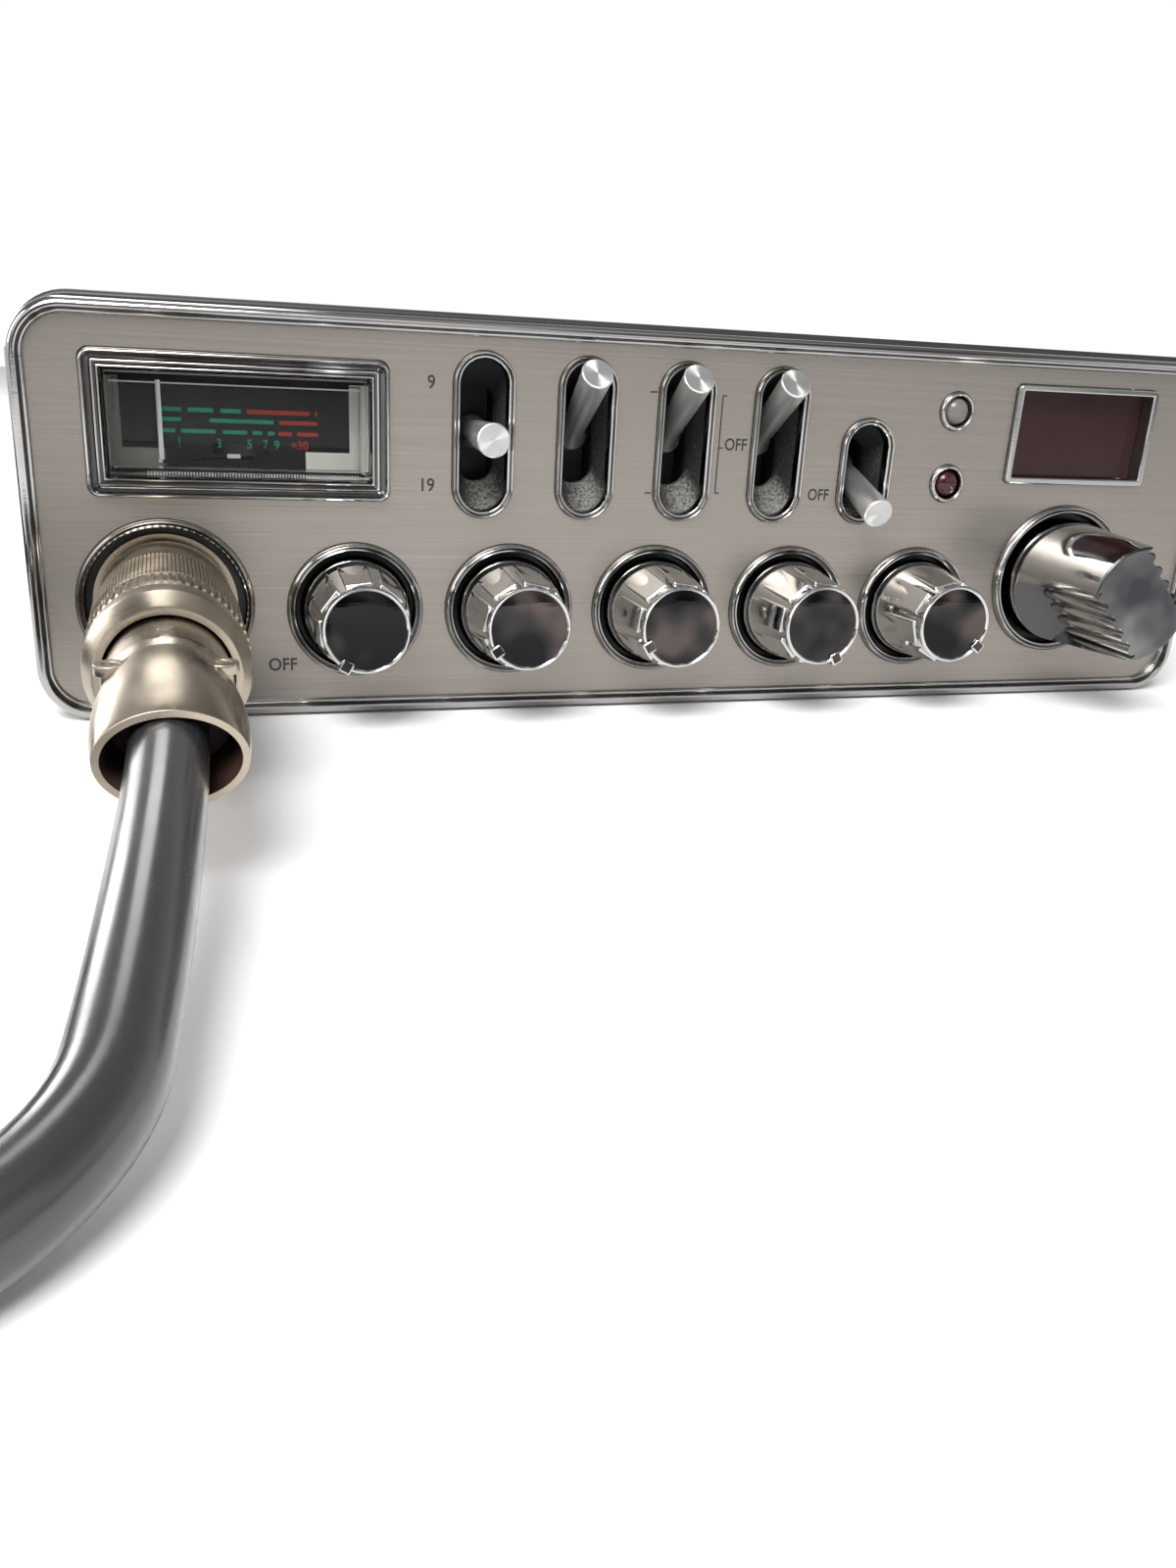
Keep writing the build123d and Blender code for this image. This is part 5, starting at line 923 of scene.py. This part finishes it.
# %% Marks on the plate
LETTER_DEPTH, LETTER_WEIGHT = 0.004, 0.014
INK_DEPTH = 0.02
LETTERS = [("OFF", -65.0, 7.65, 2.0, 0.9), ("OFF", 6.9, 42.6, 1.9, 0.85),
           ("OFF", 22.5, 35.0, 1.9, 0.85), ("9", -42.4, 50.1, 2.0, 0.9),
           ("19", -43.0, 35.2, 2.0, 0.9)]
DASHES = [(-7.6, 50.2, 1.1, 0.25), (-7.5, 34.8, 1.1, 0.25), (4.0, 42.55, 0.22, 15.1),
          (4.35, 50.1, 0.7, 0.22), (4.35, 42.1, 0.7, 0.22), (4.35, 35.0, 0.7, 0.22)]


def lettering(words, x, z, cap, squeeze):
    """Raised ink letters of a cap height in millimetres, centred on a place of the face."""
    bpy.ops.object.select_all(action="DESELECT")
    bpy.ops.object.text_add(rotation=(pi / 2, 0, 0))
    text = bpy.context.object
    text.data.body = words
    text.data.align_x = "CENTER"
    text.data.align_y = "CENTER"
    text.data.extrude = LETTER_DEPTH
    text.data.offset = LETTER_WEIGHT
    bpy.ops.object.convert(target="MESH")
    text = bpy.context.object
    size = cap * MM / text.dimensions.y
    text.scale = (size * squeeze, size, INK_DEPTH * MM / (2 * LETTER_DEPTH))
    text.location = on_face(x * MM, z * MM, INK_DEPTH / 2 * MM)
    bpy.ops.object.transform_apply(location=True, rotation=True, scale=True)
    return text


def slab(name, width, height, depth, corner):
    """A thin slab that faces forwards, in millimetres."""
    return framed(name, width, height, corner, [(0, 0), (0, depth)], hollow=False, segments=1)


marks = [lettering(*row) for row in LETTERS]
for x, z, width, height in DASHES:
    marks.append(put(slab("dash", width, height, INK_DEPTH, 0.02), on_face(x * MM, z * MM)))
plate_marks = together("plate_marks", marks)
paint(plate_marks, "print_ink")
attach(plate_marks, "radio")
print("marks:", len(marks))

# %% [markdown]
# The meter is a plated frame round a clear lens box. Behind it lies a black dial with three
# rows of bars that turn from green to red, and an upright white needle.

# %% Meter frame
METER_CORNER = 1.9
METER_STEPS = [(0, -1.5), (0, 0.8), (0.1, 1.18), (0.28, 1.42), (0.48, 1.46), (0.62, 1.3),
               (0.7, 1.05), (1.45, 0.6), (1.55, 0.74), (1.7, 0.78), (1.84, 0.66), (2.2, 0.36),
               (2.3, 0.5), (2.45, 0.54), (2.6, 0.4), (2.75, 0.0), (2.75, -1.5)]
low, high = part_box("meter_frame")
METER_X, METER_Z = (low[0] + high[0]) / 2, (low[2] + high[2]) / 2
meter_size = ((high[0] - low[0]) / MM, (high[2] - low[2]) / MM)
meter_frame = framed("meter_frame_moulding", *meter_size, METER_CORNER, METER_STEPS, segments=8)
# The broad slope and the inner step get painted shade, a darker plating for the dark they mirror.
shade_grooves(meter_frame, lambda spot: inset_of(spot, *meter_size, METER_CORNER),
              (0.56, 1.5), (1.78, 2.25))
put(meter_frame, on_face(METER_X, METER_Z))
smooth(meter_frame, TRIM_SMOOTH)
stand_for(meter_frame, "meter_frame")
print("meter frame", [round(side, 2) for side in meter_size], "mm")

# %% Meter dial
DIAL_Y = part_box("meter_dial")[0][1]
GREY, CREAM, TEAL, RED = 1, 2, 3, 4
PATCHES = [(GREY, -88.3, -86.5, 36.2, 48.9), (CREAM, -53.7, -51.3, 36.2, 48.9),
           (GREY, -86.5, -80.5, 36.2, 38.9), (CREAM, -60.3, -53.7, 36.2, 38.9),
           (CREAM, -71.8, -69.9, 37.7, 38.3)]
BARS = [(44.2, 44.8, TEAL, [(-81.0, -78.0), (-77.1, -73.5), (-72.5, -69.6)]),
        (44.2, 44.8, RED, [(-68.7, -59.6), (-58.8, -58.5)]),
        (42.8, 43.35, TEAL, [(-81.0, -78.1), (-74.1, -64.9)]),
        (42.8, 43.35, RED, [(-64.1, -58.5)]),
        (41.2, 41.75, TEAL, [(-81.0, -79.0), (-78.2, -73.3), (-72.3, -68.8), (-68.0, -66.6),
                             (-65.8, -64.8)]),
        (41.2, 41.75, RED, [(-64.2, -62.3), (-61.5, -58.4)])]
NUMBERS = [("1", -78.5, TEAL), ("3", -72.9, TEAL), ("5", -68.5, TEAL), ("7", -66.2, TEAL),
           ("9", -64.5, TEAL), ("+30", -61.2, RED)]
NUMBERS_Z, NUMBERS_CAP = 39.75, 1.35


def inked(piece, ink):
    """Gives a piece of the dial's print one of the dial's inks."""
    paint(piece, *DIAL_INKS)
    paint_where(piece, ink, lambda spot, normal: True)
    return piece


def dial_patch(ink, x_from, x_to, z_from, z_to):
    """A thin patch of print on the dial, between two places in millimetres."""
    patch = slab("patch", x_to - x_from, z_to - z_from, INK_DEPTH, 0.04)
    put(patch, ((x_from + x_to) / 2 * MM, DIAL_Y, (z_from + z_to) / 2 * MM))
    return inked(patch, ink)


dial = refined("meter_dial", 0.05, *DIAL_INKS)
patches = [dial_patch(*row) for row in PATCHES]
for low_z, high_z, ink, spans in BARS:
    patches += [dial_patch(ink, start, end, low_z, high_z) for start, end in spans]
for words, x, ink in NUMBERS:
    number = inked(lettering(words, x, NUMBERS_Z, NUMBERS_CAP, 0.9), ink)
    patches.append(put(number, (0, DIAL_Y - FACE_Y, 0)))
together("meter_dial_printed", [dial] + patches)
print("dial patches:", len(patches))

# %% [markdown]
# The lens box's edges show as bright lines, which are painted highlights: thin polished pale
# bars just behind the lens. A row of fine teeth, pale in the same way, lies along its foot and
# its right side. Only the upright part of the needle is white.

# %% Lens edges and needle
LENS_BACK, LENS_HALF_WIDTH, LENS_HALF_HEIGHT = -3.0, 18.2, 7.0
LENS_LEFT, LENS_RIGHT = METER_X / MM - LENS_HALF_WIDTH, METER_X / MM + LENS_HALF_WIDTH
LENS_LOW, LENS_HIGH = METER_Z / MM - LENS_HALF_HEIGHT, METER_Z / MM + LENS_HALF_HEIGHT
EDGES = [(LENS_LEFT, LENS_RIGHT, LENS_HIGH - 0.2, LENS_HIGH),
         (LENS_LEFT + 0.6, LENS_RIGHT - 0.5, LENS_HIGH - 1.5, LENS_HIGH - 1.33),
         (LENS_LEFT + 0.6, LENS_RIGHT - 0.5, LENS_LOW + 0.75, LENS_LOW + 0.95),
         (LENS_LEFT, LENS_LEFT + 0.14, LENS_LOW, LENS_HIGH),
         (LENS_RIGHT - 0.16, LENS_RIGHT, LENS_LOW, LENS_HIGH)]
TOOTH_PITCH = 0.42
NEEDLE_FOOT = 37.2


def bar(name, x_from, x_to, z_from, z_to, depth, ahead):
    """A thin block between two places of the face, in millimetres."""
    x, z = (x_from + x_to) / 2 * MM, (z_from + z_to) / 2 * MM
    return put(slab(name, x_to - x_from, z_to - z_from, depth, 0.03), on_face(x, z, ahead * MM))


edges = [bar("edge", *sides, 0.15, LENS_BACK) for sides in EDGES]
for i in range(round((2 * LENS_HALF_WIDTH - 6) / TOOTH_PITCH)):
    x = LENS_LEFT + 5 + i * TOOTH_PITCH
    sides = (x, x + TOOTH_PITCH / 2, LENS_LOW - 0.1, LENS_LOW + 0.4)
    edges.append(bar("tooth", *sides, 0.1, LENS_BACK + 0.3))
for i in range(round((2 * LENS_HALF_HEIGHT - 1) / TOOTH_PITCH)):
    z = LENS_LOW + 0.6 + i * TOOTH_PITCH
    sides = (LENS_RIGHT - 0.75, LENS_RIGHT - 0.35, z, z + TOOTH_PITCH / 2)
    edges.append(bar("tooth", *sides, 0.1, LENS_BACK + 0.3))
lens_edge_highlights = together("lens_edge_highlights", edges)
# The pale finish of the edges and teeth is painted highlight.
paint(lens_edge_highlights, "lens_edge_highlight")
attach(lens_edge_highlights, "radio")
needle = refined("meter_needle", 0.03, "needle_white", "dial_black", body="meter_needle")
paint_where(needle, 1, lambda spot, normal: spot.z < NEEDLE_FOOT * MM or spot.y > DIAL_Y)
print("lens edges:", len(edges))

# %% [markdown]
# The two lamps are small domes of epoxy that stand in their rings, the upper one frosted and
# the lower one dark red.

# %% Lamps
LAMP_OUTLINE = [(0, -8.0), (2.1, -8.0), (2.2, -0.6), (2.1, -0.1), (1.75, 0.35), (1.1, 0.75),
                (0.5, 0.92), (0, 0.95)]
LAMP_AHEAD = 0.2 * MM
LAMPS = ("transmit_lamp", "alert_lamp")
for name in LAMPS:
    lamp = turned(name + "_dome", LAMP_OUTLINE, 48)
    smooth(lamp, TRIM_SMOOTH)
    paint(lamp, MATERIAL_SLOTS[name])
    spot = middle(name)
    put(lamp, on_face(spot.x, spot.z, LAMP_AHEAD))
    stand_for(lamp, name)
print("lamps:", len(LAMPS))

# %% [markdown]
# The plug's coupling ring is turned, then its middle is knurled: each small face of the band is
# inset and raised, so it ends as rows of fine square studs. Short teeth follow in front of it,
# and every second face is raised for them. The whole plug leans a little in its socket.

# %% Coupling ring
PLUG_TURN = Matrix.Rotation(LEAN, 4, "Z")
PLUG_FOOT = on_face(MIC_X * MM, MIC_Z * MM)
COUPLING_TURNS = 120
KNURL_START, KNURL_END, KNURL_PITCH = 13.3, 27.2, 0.51
TEETH_START, TEETH_END = 28.4, 33.2
KNURL_RADIUS, TEETH_RADIUS, INNER_RADIUS = 9.72, 9.66, 9.55
SHADED_VALLEYS_FROM, SHADED_VALLEYS_TO = 9.68, 9.86
knurl_rows = round((KNURL_END - KNURL_START) / KNURL_PITCH)
COUPLING_OUTLINE = [(7.6, 0.6), (9.2, 0.6), (9.42, 0.8), (9.45, 1.1), (9.45, 12.3),
                    (9.35, 12.6), (9.3, 12.8), (9.5, 13.0)]
COUPLING_OUTLINE += [(KNURL_RADIUS, KNURL_START + KNURL_PITCH * i) for i in range(knurl_rows + 1)]
COUPLING_OUTLINE += [(9.5, 27.5), (9.3, 27.7), (9.3, 28.0), (9.6, 28.2),
                     (TEETH_RADIUS, TEETH_START), (TEETH_RADIUS, TEETH_END), (9.5, 33.5),
                     (9.3, 33.7), (9.3, 34.2), (9.6, 34.4), (9.78, 34.6), (9.8, 34.9),
                     (9.8, 38.2), (9.72, 38.5), (9.5, 38.9), (8.6, 41.7), (8.4, 41.95),
                     (8.1, 42.0), (7.6, 42.0), (7.6, 0.6)]


def on_knurl(spot):
    """Whether a place on the coupling ring is in its knurled band."""
    return from_axis(spot) > INNER_RADIUS and KNURL_START < -spot.y / MM < KNURL_END


def on_tooth(spot):
    """Whether a place on the coupling ring is on one of its teeth."""
    return (from_axis(spot) > INNER_RADIUS and TEETH_START < -spot.y / MM < TEETH_END
            and every_second(spot, COUPLING_TURNS))


coupling = turned("coupling_ring_knurled", COUPLING_OUTLINE, COUPLING_TURNS)
raise_faces(coupling, 0.11, 0.2, on_knurl)
raise_faces(coupling, 0.06, 0.3, on_tooth)
paint(coupling, "plug_nickel", "plug_groove_painted_shade")
# Painted shade: the valleys between the knurl's studs get the darker nickel.
paint_where(coupling, 1, lambda spot, normal: on_knurl(spot)
            and SHADED_VALLEYS_FROM < from_axis(spot) < SHADED_VALLEYS_TO)
smooth(coupling, 30)
put(coupling, PLUG_FOOT, PLUG_TURN)
stand_for(coupling, "plug_coupling_ring", body="plug_coupling_ring")
print("coupling ring", len(coupling.data.polygons), "faces")

# %% Plug body, clamp and screws
CLAMP_MOUTH = 60
BORE_DROP = 1.0
refined("plug_body", 0.25, "plug_nickel")
clamp = refined("plug_clamp", 0.35, "plug_nickel", "plug_mouth_painted_shade", segments=3)


def faces_plug_axis(spot, normal):
    """Whether a face of the clamp looks inwards, to its bore, or forwards from inside it."""
    ahead = (FACE_Y - spot.y) / MM
    x, _, z = plug_axis(ahead)
    outwards = Vector((spot.x - x * MM, 0, spot.z - (z - BORE_DROP) * MM))
    looks_in = outwards.dot(normal) < -0.2 * outwards.length
    return looks_in or (normal.y < -0.9 and ahead < CLAMP_MOUTH)


# Painted shade: the clamp's bore, and the faces inside its mouth that look forwards, are dark brown.
paint_where(clamp, 1, faces_plug_axis)
refined("plug_screws", 0.12, "plug_nickel")
print("plug finished")

# %% [markdown]
# The casings are pressed and painted sheet, and the microphone is moulded, so all of them have
# rounded edges. Their solids are copied and their edges are rounded by small amounts.

# %% Casings and microphone
ROUNDED = {"escutcheon": 0.35, "top_cover": 0.3, "bottom_cover": 0.3, "cover_screws": 0.25,
           "heatsink": 0.2, "antenna_socket": 0.25, "audio_jacks": 0.2, "power_inlet": 0.25,
           "mic_back_shell": 0.4, "mic_front_shell": 0.4, "talk_bar": 0.5, "hang_up_stud": 0.2,
           "strain_relief": 0.25, "mic_case_screws": 0.2, "display_frame": 0.25}
for node, width in ROUNDED.items():
    body = "talk_bar" if node == "talk_bar" else "radio"
    made = refined(node, width, MATERIAL_SLOTS[node], body=body)
    print(node, len(made.data.polygons), "faces")

# %% [markdown]
# The rest of the CAD nodes have the right shape already, and only get their finish. The wells
# of the lever slots are black, with dust in patches and painted light: a wall is lighter where
# it looks up, and a little where it looks left or forwards, the side that the key lamp lights.

# %% Finishes for the remaining solids
# The side that the key lamp lights: walls that face it get painted light, mixed with patches of dust.
LIGHT_AND_DUST_SIDE = (-0.19, -0.12, 0.41)
DUST_PATCHES = 0.77
dust_and_light = finish("dusty_well", (0.02, 0.02, 0.02), 0.0, 0.75)
nodes, links = dust_and_light.node_tree.nodes, dust_and_light.node_tree.links
facing = nodes.new("ShaderNodeNewGeometry")
facing_dust_and_light = nodes.new("ShaderNodeVectorMath")
facing_dust_and_light.operation = "DOT_PRODUCT"
facing_dust_and_light.inputs[1].default_value = LIGHT_AND_DUST_SIDE
links.new(facing.outputs["Normal"], facing_dust_and_light.inputs[0])
patchy = nodes.new("ShaderNodeMath")
patchy.operation = "MULTIPLY_ADD"
patchy.inputs[1].default_value = DUST_PATCHES
links.new(pattern(dust_and_light, 2300, detail=8), patchy.inputs[0])
links.new(facing_dust_and_light.outputs["Value"], patchy.inputs[2])
tint(dust_and_light, patchy.outputs["Value"],
     [(0.006, 0.008, 0.011), (0.045, 0.044, 0.040), (0.24, 0.235, 0.21)], 0.46, 0.92)
relief(dust_and_light, pattern(dust_and_light, 1800, detail=6), 0.00006, 0.6)
# Painted shade: the switches deep in the wells are near black.
moulded("well_dark", (0.003, 0.006, 0.010), 0.6)
OWN_FINISHES = {"slot_wells": "dusty_well", "lever_switches": "well_dark"}
for node, piece in frame["nodes"].items():
    name = OWN_FINISHES.get(node, MATERIAL_SLOTS[node])
    paint(piece, "dial_black" if name == "dial_print" else name)
print("finished", len(frame["nodes"]), "nodes")
